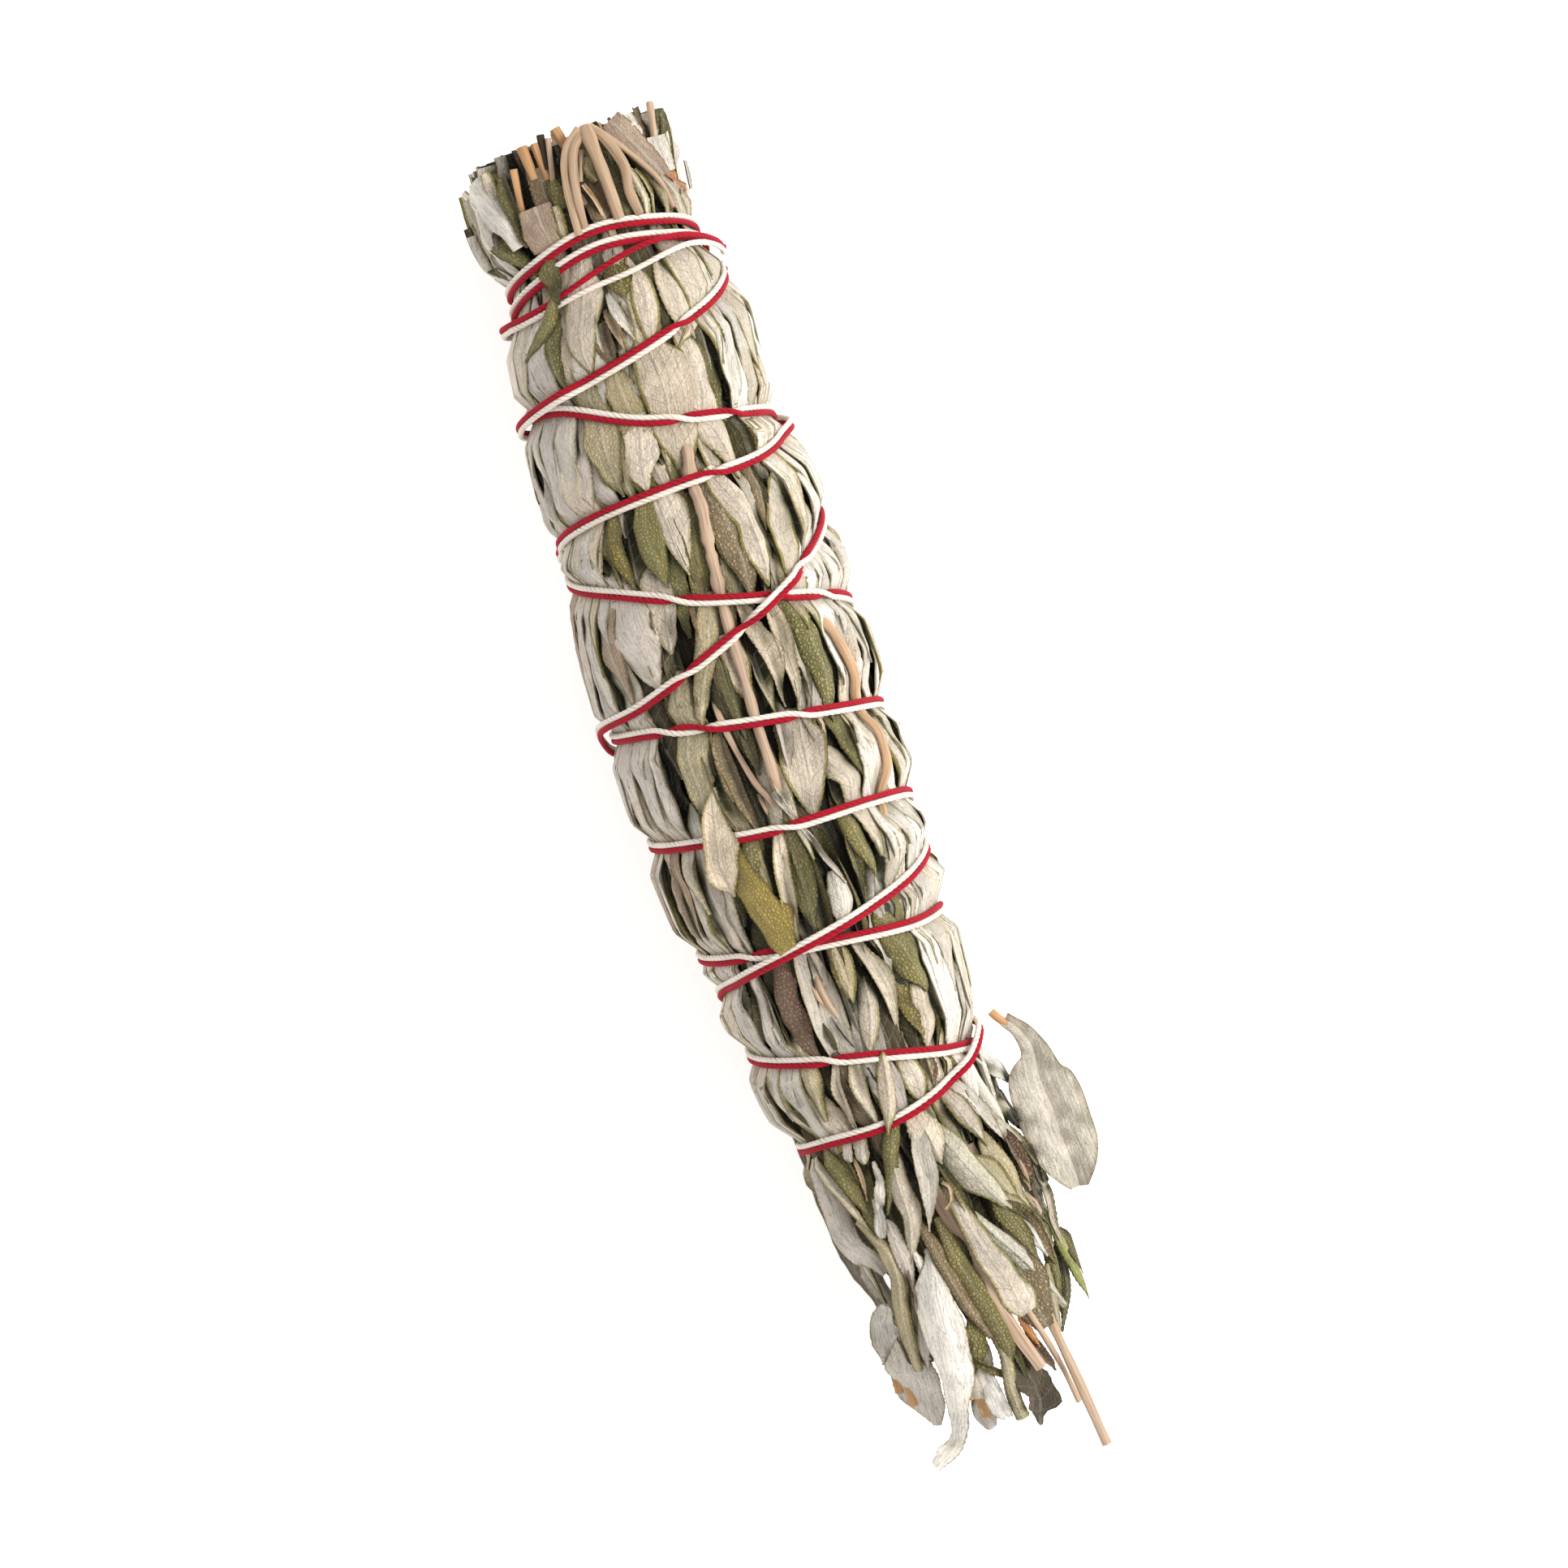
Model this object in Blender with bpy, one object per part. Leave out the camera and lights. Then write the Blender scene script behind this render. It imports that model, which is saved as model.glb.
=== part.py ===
"""Sage smudge stick: eight dried sage sprigs, bound together with a red and a white cotton strand.

The bundle lies along X on the plane z = 0, with its cut stalks towards -X and its leaf tips towards +X.
Lengths are worked out in millimetres and turned to metres by MM where a mesh or a curve is made.
An angle round the bundle is counted from the top (+Z) towards +Y, a radius from its own centre line.
"""

import math
import random

import bmesh
import bpy
import numpy as np
from mathutils import Vector
from mathutils.bvhtree import BVHTree

MM = 0.001

# The bundle: distance from the cut end, half of its width, and how far its middle lies to +Y.
OUTLINE = (
    (0, 17.0, 1.8),
    (12, 17.6, 1.6),
    (23, 16.8, 1.9),
    (32, 18.9, 1.8),
    (50, 19.6, 0.0),
    (70, 21.8, -0.1),
    (90, 22.3, -1.2),
    (110, 22.0, -2.1),
    (128, 21.3, -2.2),
    (145, 19.2, -2.1),
    (160, 17.8, -2.3),
    (169, 16.6, -1.7),
    (180, 17.4, -0.9),
    (200, 17.0, 0.0),
    (230, 13.0, 0.0),
)
CENTRE_HEIGHT = 20.9

# Sprigs: leafy stems, each a wedge of the round bundle.
SPRIGS = 8
WEDGE = 2 * math.pi / SPRIGS
SEAM_WAVE = math.radians(4)
SEAM_PITCH = 30.0
SEAM_PHASE = 2.1
SEAM_GAP = 0.25
MOST_MARGIN_SINE = 0.95
LEAST_RADIUS_IN_MARGINS = 1.3
CORE_DEPTH = 2.3
CORE_INNER_RADIUS = 1.2
CORE_START = 3.6
CORE_START_SPREAD = (-0.8, 1.4)
CORE_RIPPLE = 0.35
CORE_STATIONS = (14, 26, 48, 72, 96, 120, 144, 166)
CORE_END = ((178, 0.78), (190, 0.38))
CORE_ARC_POINTS = 4

# Leaves laid in rows along each sprig. Pairs are the ends of a range that a leaf's value is drawn from.
SEED = 33
LEAF_ROWS_START = 10.0
LEAF_ROWS_PITCH = 17.0
LEAF_ROWS = 9
LEAF_COLUMNS = (-3.7, 3.7)
LEAF_LENGTH = (34.0, 42.0)
LEAF_WIDTH = (8.0, 9.6)
LEAF_WIDTH_SPREAD = (0.88, 1.1)
LEAF_STATIONS = (0.2, 0.5, 0.8)
LEAF_ROW_SPREAD = (-1.5, 1.5)
LEAF_ARC_SPREAD = (-0.8, 0.8)
LEAF_SWING = (-1.4, 1.4)
LEAF_CLOSING = 0.8
STEM_END_HEIGHT = (-1.0, -0.5)
POINT_HEIGHT = (0.2, 0.7)
EDGE_DROP = 0.9
STEM_END_DROP = 1.2
POINT_DROP = 0.8
KEEL_DEPTH = 3.0
RIDGE_MARGIN = 1.7
END_MARGIN = 1.2
FREE_LEAF_MARGIN = 0.9

# Leaves chopped off square at the cut end: millimetres round from the sprig's middle, and ranges.
BUTT_LEAF_ARCS = (-3.6, 3.4)
BUTT_LEAF_START = (1.2, 4.5)
BUTT_LEAF_LENGTH = (20, 26)
BUTT_LEAF_WIDTH = (7, 9)
BUTT_LEAF_HEIGHTS = (0.5, 0.3)
BUTT_LEAF_CLOSING = 0.6
BLUNT_SHARE = 0.75

# Leaves that come free past the last turn of twine: start, end, degrees round from the sprig's middle,
# and the share of the bundle's radius that they lie at, halfway and at the point.
TIP_LEAVES = (
    (164, 208, -9, 0.93, 1.0),
    (167, 211, 8, 0.93, 1.0),
    (174, 216, -4, 0.55, 0.8),
    (176, 219, 7, 0.55, 0.8),
)
TIP_LEAF_END_SPREAD = (-4, 4)
TIP_LEAF_SPREAD = (0.86, 1.04)
TIP_LEAF_ROOT_SHARE = 0.86
TIP_LEAF_ROOT_SWING = 0.6
TIP_LEAF_POINT_SWING = 0.7
TIP_LEAF_WIDTH = (6.5, 9)
TIP_LEAF_TURN = (-25, 25)
TIP_LEAF_THICKNESS = 1.1
STANDOUT_THICKNESS = 1.3

# Stalks
STALK_RADIUS = 1.9
STALK_DEPTH_SHARE = 0.54
STALK_START = (0.8, 2.6)
STALK_INNER_STATIONS = (60, 116)
STALK_INNER_END = 172.0
STALK_END_SHARE = 0.8
BORE_START = -4.0
CLEARANCE = 0.3

# Twine: one row for each turn, with its distance from the cut end at these angles round the bundle.
TWINE_ANGLES = (-90, -45, 0, 45, 90, 180)
TWINE_TURNS = (
    (22.4, 20.2, 18.0, 19.8, 22.0, 25.4),
    (25.6, 23.0, 20.8, 22.6, 25.0, 33.0),
    (41.8, 43.3, 49.9, 53.2, 54.7, 61.0),
    (69.0, 73.6, 80.3, 84.7, 87.6, 91.0),
    (95.2, 96.9, 100.7, 103.6, 105.0, 109.0),
    (113.6, 115.8, 118.4, 119.2, 120.4, 129.0),
    (133.4, 135.6, 138.0, 139.9, 139.3, 145.0),
    (151.0, 154.0, 157.4, 160.9, 162.0, 166.0),
    (168.2, 168.3, 168.5, 165.0, 157.0, 152.0),
    (140.2, 138.7, 136.6, 133.3, 128.8, 119.0),
    (94.2, 92.3, 87.6, 79.9, 72.6, 70.0),
    (63.3, 61.6, 61.2, 61.1, 57.5, 50.0),
    (43.6, 41.6, 39.3, 35.3, 30.2, 28.6),
    (27.6, 27.3, 25.4, 24.2, 26.6, 28.4),
)
TWINE_START = 22.2
TWINE_START_ANGLE = -160
TWINE_END_ANGLE = 100
TWINE_SIDE_BY_SIDE = 2
# Where the two strands change places: the turn and the angle. The white one starts nearer to the cut end.
TWINE_SWAPS = (
    (2, 15),
    (2, 43),
    (3, -14),
    (3, 29),
    (3, 54),
    (3, 150),
    (4, -36),
    (4, -18),
    (4, 22),
    (4, 150),
    (5, 1),
    (6, -120),
    (6, -38),
    (6, 150),
    (7, -18),
    (7, 150),
    (10, -20),
    (10, 11),
    (10, 48),
    (11, 20),
    (11, 150),
    (12, 27),
    (13, -120),
)
SWAP_ARC = 14.0
STRAND_RADIUS = 0.52
STRAND_OFFSET = 0.61
TWINE_BITE = 0.5
TWINE_LIFT = 1.95
GROUND_GAP = 0.25
LIFT_NEAR = 2.0
LIFT_FAR = 5.0
GROOVE_DEPTH = 1.85
GROOVE_HEIGHT = 3.2
GROOVE_SLOPE = 1.1
ROUTE_STEP = 2.0
ROUTE_TOLERANCE = 0.48
MOST_ROLL = math.radians(62)
# The angle, counted along the whole winding, where the first groove ends and the second one starts.
FIRST_TURNS_END = 190

MERGE_DISTANCE = 0.001
# Shares of a sprig's triangles to keep as the slivers left by its cuts are merged, lowest first.
KEPT_SHARES = (0.4, 0.43, 0.46, 0.5, 0.54, 0.58, 0.63, 0.7, 0.8)

ROUGHNESS = 0.9
COLOURS = {
    "leaf": (0.42, 0.41, 0.32, 1),
    "stalk": (0.55, 0.38, 0.22, 1),
    "red": (0.60, 0.02, 0.03, 1),
    "white": (0.80, 0.76, 0.68, 1),
}


def through(points, at):
    """Values of a smooth curve through points, rows of (position, value, ...), at the positions asked for."""
    table = np.array(points, float)
    where, values = table[:, 0], table[:, 1:]
    slopes = np.gradient(values, where, axis=0)
    at = np.clip(np.atleast_1d(np.asarray(at, float)), where[0], where[-1])
    i = np.clip(np.searchsorted(where, at) - 1, 0, len(where) - 2)
    span = (where[i + 1] - where[i])[:, None]
    t = (at - where[i])[:, None] / span
    return (
        values[i] * (2 * t**3 - 3 * t**2 + 1)
        + slopes[i] * span * (t**3 - 2 * t**2 + t)
        + values[i + 1] * (3 * t**2 - 2 * t**3)
        + slopes[i + 1] * span * (t**3 - t**2)
    )


def radius_at(x):
    return through(OUTLINE, x)[:, 0]


def centre_at(x):
    return through(OUTLINE, x)[:, 1]


def around(x, angle, radius):
    """The point at a distance along the bundle, an angle round it and a radius from its centre line."""
    return (
        float(x),
        float(centre_at(x)[0] + radius * math.sin(angle)),
        CENTRE_HEIGHT + radius * math.cos(angle),
    )


def seam(number, x):
    """The angle of the seam before a sprig, which wanders a little along the bundle."""
    wave = SEAM_WAVE * math.sin(x / SEAM_PITCH + SEAM_PHASE * (number % SPRIGS))
    return (number - 0.5) * WEDGE + wave


def kept_inside(sprig, x, angle, radius, margin=SEAM_GAP):
    """The angle, held inside the sprig's own wedge by a margin of that many millimetres."""
    share = math.asin(min(MOST_MARGIN_SINE, margin / max(radius, LEAST_RADIUS_IN_MARGINS * margin)))
    low, high = seam(sprig, x) + share, seam(sprig + 1, x) - share
    return min(max(angle, low), high) if low < high else (low + high) / 2


def fresh_collection(name):
    made = bpy.data.collections.new(name)
    bpy.context.scene.collection.children.link(made)
    return made


def material(name):
    made = bpy.data.materials.new(name)
    made.use_nodes = True
    made.diffuse_color = COLOURS[name]
    shader = made.node_tree.nodes["Principled BSDF"]
    shader.inputs["Base Color"].default_value = COLOURS[name]
    shader.inputs["Roughness"].default_value = ROUGHNESS
    shader.inputs["Metallic"].default_value = 0.0
    return made


def mesh_object(name, mesh, collection):
    made = bpy.data.objects.new(name, mesh)
    collection.objects.link(made)
    return made


def loft(name, rings, collection, start=None, end=None):
    """A closed solid through rings of equally many points. Each end closes in a point, or in a flat cap."""
    shape = bmesh.new()
    rows = [[shape.verts.new(Vector(p) * MM) for p in ring] for ring in rings]
    count = len(rings[0])
    for near, far in zip(rows, rows[1:]):
        for i in range(count):
            j = (i + 1) % count
            shape.faces.new((near[i], near[j], far[j], far[i]))
    for row, point in ((rows[0], start), (rows[-1], end)):
        if point is None:
            shape.faces.new(row)
            continue
        tip = shape.verts.new(Vector(point) * MM)
        for i in range(count):
            shape.faces.new((row[i], row[(i + 1) % count], tip))
    bmesh.ops.triangulate(shape, faces=shape.faces)
    bmesh.ops.recalc_face_normals(shape, faces=shape.faces)
    mesh = bpy.data.meshes.new(name)
    shape.to_mesh(mesh)
    shape.free()
    return mesh_object(name, mesh, collection)


def tube(name, points, radius, collection, sides=8, end_share=1.0):
    """A curve with filled caps along points, thinning to a share of its radius at its far end."""
    curve = bpy.data.curves.new(name, "CURVE")
    curve.dimensions = "3D"
    curve.bevel_depth = radius * MM
    curve.bevel_resolution = (sides - 4) // 2
    curve.use_fill_caps = True
    spline = curve.splines.new("POLY")
    spline.points.add(len(points) - 1)
    for i, (place, point) in enumerate(zip(points, spline.points)):
        point.co = (*(Vector(place) * MM), 1)
        point.radius = 1 + (end_share - 1) * i / (len(points) - 1)
    return mesh_object(name, curve, collection)


def as_mesh(curve_object, collection):
    """The curve object's tube as a closed mesh object. The curve is removed."""
    name = curve_object.name
    bpy.context.view_layer.update()
    graph = bpy.context.evaluated_depsgraph_get()
    mesh = bpy.data.meshes.new_from_object(curve_object.evaluated_get(graph))
    bpy.data.objects.remove(curve_object)
    shape = bmesh.new()
    shape.from_mesh(mesh)
    bmesh.ops.remove_doubles(shape, verts=shape.verts, dist=MERGE_DISTANCE * MM)
    bmesh.ops.triangulate(shape, faces=shape.faces)
    bmesh.ops.recalc_face_normals(shape, faces=shape.faces)
    shape.to_mesh(mesh)
    shape.free()
    return mesh_object(name, mesh, collection)


def rod(name, points, radius, collection, sides=8, end_share=1.0):
    return as_mesh(tube(name, points, radius, collection, sides, end_share), collection)


def combine(target, others, operation):
    """Joins a collection to the target's mesh, or cuts an object from it."""
    modifier = target.modifiers.new("combine", "BOOLEAN")
    modifier.operation = operation
    modifier.solver = "MANIFOLD"
    if isinstance(others, bpy.types.Collection):
        modifier.operand_type = "COLLECTION"
        modifier.collection = others
    else:
        modifier.object = others
    bpy.context.view_layer.update()
    graph = bpy.context.evaluated_depsgraph_get()
    mesh = bpy.data.meshes.new_from_object(target.evaluated_get(graph))
    target.modifiers.clear()
    target.data = mesh


def crosses_itself(mesh):
    shape = bmesh.new()
    shape.from_mesh(mesh)
    bmesh.ops.triangulate(shape, faces=shape.faces)
    shape.faces.ensure_lookup_table()
    tree = BVHTree.FromBMesh(shape)
    found = any(
        a < b and not set(shape.faces[a].verts) & set(shape.faces[b].verts)
        for a, b in tree.overlap(tree)
    )
    shape.free()
    return found


def merge_slivers(target):
    """Collapses the short edges that unions and cuts leave, as far as the surface stays clear of itself."""
    modifier = target.modifiers.new("fewer", "DECIMATE")
    modifier.use_collapse_triangulate = True
    for share in KEPT_SHARES:
        modifier.ratio = share
        bpy.context.view_layer.update()
        graph = bpy.context.evaluated_depsgraph_get()
        mesh = bpy.data.meshes.new_from_object(target.evaluated_get(graph))
        if not crosses_itself(mesh):
            target.data = mesh
            break
    target.modifiers.clear()


def keep_largest(target):
    """Drops loose scraps and sealed hollows: only the connected surface round the most volume stays."""
    shape = bmesh.new()
    shape.from_mesh(target.data)
    bmesh.ops.triangulate(shape, faces=shape.faces)
    unseen = set(shape.verts)
    groups = []
    while unseen:
        front = [unseen.pop()]
        group = set(front)
        while front:
            for edge in front.pop().link_edges:
                for vertex in edge.verts:
                    if vertex in unseen:
                        unseen.remove(vertex)
                        group.add(vertex)
                        front.append(vertex)
        faces = {face for vertex in group for face in vertex.link_faces}
        corners = [[v.co for v in face.verts] for face in faces]
        groups.append((sum(a.dot(b.cross(c)) for a, b, c in corners), group))
    groups.sort(key=lambda pair: pair[0])
    for _, group in groups[:-1]:
        bmesh.ops.delete(shape, geom=list(group), context="VERTS")
    shape.to_mesh(target.data)
    shape.free()


# Twine route


def twine_route():
    """Angle, distance along and roll of the pair of strands, in fine steps along the whole winding."""
    rows = [
        (360 * turn + angle, x)
        for turn, turn_row in enumerate(TWINE_TURNS)
        for angle, x in zip(TWINE_ANGLES, turn_row)
    ]
    rows.insert(0, (-180, TWINE_START))
    last = 360 * (len(TWINE_TURNS) - 1) + TWINE_END_ANGLE
    angles = np.arange(TWINE_START_ANGLE, last + ROUTE_STEP, ROUTE_STEP)
    x = through(rows, angles)[:, 0]
    swaps = np.array([360 * turn + angle for turn, angle in TWINE_SWAPS])
    share = np.clip((angles[:, None] - swaps) / SWAP_ARC + 0.5, 0, 1)
    roll = math.pi * (1 + share.sum(axis=1))
    return np.radians(angles), x, roll


def on_surface(angle, x, height):
    """Points at a height over the bundle's surface, as an array."""
    radius = radius_at(x) + height
    y = centre_at(x) + radius * np.sin(angle)
    return np.column_stack([x, y, CENTRE_HEIGHT + radius * np.cos(angle)])


def crossing_lift(places, angles):
    """How far each point rises to pass over earlier turns of the twine, where it comes near them.

    The first turns lie side by side, and the ones after them rise over each turn that they cross.
    """
    lift = np.zeros(len(places))
    first = np.searchsorted(angles, math.radians(360 * TWINE_SIDE_BY_SIDE - 180))
    for i in range(first, len(places)):
        before = np.searchsorted(angles, angles[i] - math.pi)
        apart = np.linalg.norm(places[:before] - places[i], axis=1)
        share = np.clip((LIFT_FAR - apart) / (LIFT_FAR - LIFT_NEAR), 0, 1)
        lift[i] = ((lift[:before] + TWINE_LIFT) * share * share * (3 - 2 * share)).max()
    return lift


def twine_paths():
    """Centre lines of the pair, the red and the white strand, with as few points as their bends need."""
    angles, x, roll = twine_route()
    lift = crossing_lift(on_surface(angles, x, -TWINE_BITE), angles)
    centre = on_surface(angles, x, -TWINE_BITE + lift)
    centre[:, 2] = np.maximum(centre[:, 2], STRAND_RADIUS + GROUND_GAP)
    sideways, outward = twine_frames(centre, angles)
    offset = np.cos(roll)[:, None] * sideways + np.sin(roll)[:, None] * outward
    red = centre + STRAND_OFFSET * offset
    white = centre - STRAND_OFFSET * offset
    kept = thinned((red, white), roll)
    return [line[kept] for line in (angles, centre, red, white)]


def twine_frames(centre, angles):
    """Unit directions along the twine's path: sideways towards the cut end, and straight out."""
    along = np.gradient(centre, axis=0)
    along /= np.linalg.norm(along, axis=1)[:, None]
    outward = np.column_stack([0 * angles, np.sin(angles), np.cos(angles)])
    outward -= along * (along * outward).sum(axis=1)[:, None]
    outward /= np.linalg.norm(outward, axis=1)[:, None]
    sideways = np.cross(outward, along)
    sideways *= np.sign(-sideways[:, :1])
    return sideways, outward


def thinned(lines, roll):
    """The points to keep, so that straight runs between them stay close to the lines and roll little."""
    kept = [0]
    last = len(roll) - 1
    while kept[-1] < last:
        start, stop = kept[-1], kept[-1] + 1
        while stop < last and run_is_fine(lines, roll, start, stop + 1):
            stop += 1
        kept.append(stop)
    return kept


def run_is_fine(lines, roll, start, stop):
    if roll[stop] - roll[start] > MOST_ROLL:
        return False
    for line in lines:
        points = line[start : stop + 1] - line[start]
        chord = points[-1] / np.linalg.norm(points[-1])
        away = points - np.outer(points @ chord, chord)
        if np.linalg.norm(away, axis=1).max() > ROUTE_TOLERANCE:
            return False
    return True


# Sprigs


def core_ring(sprig, x, share, draw):
    """One section of a sprig's packed inside: a wedge with a few points along its outer arc."""
    outer = (float(radius_at(x)[0]) - CORE_DEPTH) * share
    low = kept_inside(sprig, x, -math.inf, outer)
    high = kept_inside(sprig, x, math.inf, outer)
    inner = CORE_INNER_RADIUS
    ring = [around(x, kept_inside(sprig, x, low, inner), inner)]
    for i in range(CORE_ARC_POINTS):
        angle = low + (high - low) * i / (CORE_ARC_POINTS - 1)
        ring.append(around(x, angle, outer + draw.uniform(-CORE_RIPPLE, CORE_RIPPLE) * share))
    ring.append(around(x, kept_inside(sprig, x, high, inner), inner))
    return ring


def core(sprig, collection, draw):
    """The packed inside of a sprig, from its cut end to where its leaf tips come free."""
    rings = [core_ring(sprig, CORE_START + draw.uniform(*CORE_START_SPREAD), 1.0, draw)]
    rings += [core_ring(sprig, x, 1.0, draw) for x in CORE_STATIONS]
    rings += [core_ring(sprig, x, share, draw) for x, share in CORE_END]
    return loft(f"sprig_{sprig + 1}", rings, collection)


def leaf_half_width(share):
    """A sage leaf's outline: narrow at its stalk, widest before the middle, and a blunt point."""
    return math.sin(math.pi * share**0.85) ** 0.75


def laid_leaf(sprig, name, start, end, width, heights, draw, collection, blunt=False):
    """A leaf pressed on the bundle, from start to end: (distance along, mm round from the sprig's middle)."""
    rings = []
    stations = ((0.0,) if blunt else ()) + LEAF_STATIONS
    for share in stations:
        x = start[0] + (end[0] - start[0]) * share
        surface = float(radius_at(x)[0])
        arc = start[1] + (end[1] - start[1]) * share
        angle = kept_inside(sprig, x, sprig * WEDGE + arc / surface, surface, RIDGE_MARGIN)
        half = width / 2 * max(leaf_half_width(share), BLUNT_SHARE if blunt and share == 0 else 0)
        half *= draw.uniform(*LEAF_WIDTH_SPREAD)
        height = heights[0] + (heights[1] - heights[0]) * share
        top, edge = surface + height, surface + height - EDGE_DROP
        low = kept_inside(sprig, x, angle - half / surface, edge)
        high = kept_inside(sprig, x, angle + half / surface, edge)
        rings.append(
            [
                around(x, low, edge),
                around(x, angle, top),
                around(x, high, edge),
                around(x, angle, surface - KEEL_DEPTH),
            ]
        )
    points = []
    for place, height in ((start, heights[0] - STEM_END_DROP), (end, heights[1] - POINT_DROP)):
        surface = float(radius_at(place[0])[0])
        angle = sprig * WEDGE + place[1] / surface
        angle = kept_inside(sprig, place[0], angle, surface, END_MARGIN)
        points.append(around(place[0], angle, surface + height))
    return loft(name, rings, collection, None if blunt else points[0], points[1])


def free_leaf(sprig, name, line, width, thickness, collection, turn=0.0, lengthwise=6):
    """A leaf on a smooth line of (distance along, degrees round, radius), turned about that line."""
    shares = np.linspace(0, 1, lengthwise)
    rows = [(i / (len(line) - 1), *place) for i, place in enumerate(line)]
    rings = []
    for share in shares[1:-1]:
        x, degrees, radius = through(rows, share)[0]
        angle = math.radians(degrees)
        half = width / 2 * leaf_half_width(float(share))
        lean = math.radians(turn)
        sides = []
        for side in (-1, 1):
            reach = radius + side * half * math.sin(lean)
            sweep = angle + side * half * math.cos(lean) / radius
            sides.append(around(x, kept_inside(sprig, x, sweep, reach), reach))
        middle = Vector(around(x, kept_inside(sprig, x, angle, radius, FREE_LEAF_MARGIN), radius))
        across = (Vector(sides[1]) - Vector(sides[0])).normalized()
        normal = across.cross(Vector((1, 0, 0))).normalized() * thickness / 2
        rings.append([sides[0], middle + normal, sides[1], middle - normal])
    ends = [around(x, math.radians(a), r) for x, a, r in (line[0], line[-1])]
    return loft(name, rings, collection, ends[0], ends[1])


def laid_leaves(sprig, collection, draw):
    """Rows of leaves along the sprig, overlapping like shingles with their points towards +X."""
    for row in range(LEAF_ROWS):
        x = LEAF_ROWS_START + row * LEAF_ROWS_PITCH + draw.uniform(*LEAF_ROW_SPREAD)
        arc = LEAF_COLUMNS[(row + sprig) % 2] + draw.uniform(*LEAF_ARC_SPREAD)
        length = draw.uniform(*LEAF_LENGTH)
        end_arc = arc * LEAF_CLOSING + draw.uniform(*LEAF_SWING)
        width = draw.uniform(*LEAF_WIDTH)
        heights = (draw.uniform(*STEM_END_HEIGHT), draw.uniform(*POINT_HEIGHT))
        name = f"leaf_{sprig}_{row}"
        laid_leaf(sprig, name, (x, arc), (x + length, end_arc), width, heights, draw, collection)


def butt_leaves(sprig, collection, draw):
    """Leaves chopped off square at the cut end."""
    for i, arc in enumerate(BUTT_LEAF_ARCS):
        start = (draw.uniform(*BUTT_LEAF_START), arc)
        end = (start[0] + draw.uniform(*BUTT_LEAF_LENGTH), arc * BUTT_LEAF_CLOSING)
        name = f"butt_leaf_{sprig}_{i}"
        width = draw.uniform(*BUTT_LEAF_WIDTH)
        laid_leaf(sprig, name, start, end, width, BUTT_LEAF_HEIGHTS, draw, collection, blunt=True)


def tip_leaves(sprig, collection, draw):
    """Leaves that come free past the last turn of twine."""
    middle = math.degrees(sprig * WEDGE)
    for i, (start, reach, swing, outer, point_share) in enumerate(TIP_LEAVES):
        surface = float(radius_at(start)[0])
        end = reach + draw.uniform(*TIP_LEAF_END_SPREAD)
        spread = surface * outer * draw.uniform(*TIP_LEAF_SPREAD)
        line = (
            (start, middle + swing * TIP_LEAF_ROOT_SWING, surface * outer * TIP_LEAF_ROOT_SHARE),
            ((start + end) / 2, middle + swing, surface * outer),
            (end, middle + swing * TIP_LEAF_POINT_SWING, spread * point_share),
        )
        width = draw.uniform(*TIP_LEAF_WIDTH)
        turn = draw.uniform(*TIP_LEAF_TURN)
        free_leaf(sprig, f"tip_leaf_{sprig}_{i}", line, width, TIP_LEAF_THICKNESS, collection, turn)


# Leaves that stand out: sprig, line of (distance along, degrees round, radius), width, turn in degrees.
STANDOUT_LEAVES = {
    "silver_leaf": (
        2,
        ((160, 88, 21.8), (168, 90, 23.2), (176, 91, 22.2), (184, 91, 22.6), (190, 90, 24.5)),
        17.0,
        82,
    ),
    "curled_leaf": (
        7,
        ((188, -42, 11), (197, -38, 12), (208, -44, 11), (217, -50, 12.5), (224.5, -60, 15.5)),
        7.0,
        20,
    ),
    "long_leaf": (
        0,
        ((183, -4, 15.5), (192, -3, 17.5), (201, -1, 17.0), (209, 2, 15.5)),
        6.0,
        0,
    ),
    "drooping_leaf": (
        6,
        ((164, -92, 14.5), (174, -92, 16.5), (184, -93, 16.8), (191, -92, 13.0)),
        11.0,
        35,
    ),
    "broad_leaf": (
        6,
        ((184, -95, 9.0), (195, -97, 12.5), (204, -98, 14.5), (211, -98, 13.0)),
        11.0,
        25,
    ),
    "pointed_leaf": (
        1,
        ((176, 60, 13.5), (188, 58, 17.5), (198, 57, 18.5), (206, 56, 18.5)),
        5.5,
        20,
    ),
    "ragged_leaf": (
        1,
        ((190, 34, 9.5), (203, 33, 10.5), (213, 32, 10), (222, 34, 8)),
        7.5,
        -15,
    ),
}
# Stems that show: sprig, line of (distance along, sideways), radius, and share of it at the far end.
SURFACE_STEMS = {
    "middle_stem": (0, ((54, 5.0), (62, 3.3), (70, 2.2), (78, 1.5), (95, 0.0), (113, -1.0)), 1.15, 0.9),
    "side_stem": (1, ((89, 16.0), (98, 17.0), (108, 17.3), (117, 16.2), (125, 13.6)), 1.0, 0.8),
}
SURFACE_STEM_HEIGHT = -0.35
# Branches of the forked stalk, as (distance along, sideways, height over the outline).
FORK_RADIUS = 0.85
FORK_END_SHARE = 0.9
FORK = {
    "trunk": ((1.6, 6.8, 0.2), (4.4, 6.6, 1.5), (11.0, 6.9, 1.2), (17.0, 6.6, 0.1)),
    "far_branch": ((2.4, 7.2, 0.7), (5.5, 9.4, 1.4), (11.0, 10.3, 1.0), (16.8, 9.8, 0.0)),
    "near_branch": ((2.2, 6.0, 0.7), (5.5, 3.6, 1.4), (11.0, 1.2, 0.9), (16.4, 0.2, -0.2)),
    "thin_branch": ((2.6, 7.6, 0.6), (6.5, 10.8, 0.9), (12.0, 13.6, 0.7), (17.2, 15.0, 0.0)),
}
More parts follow.
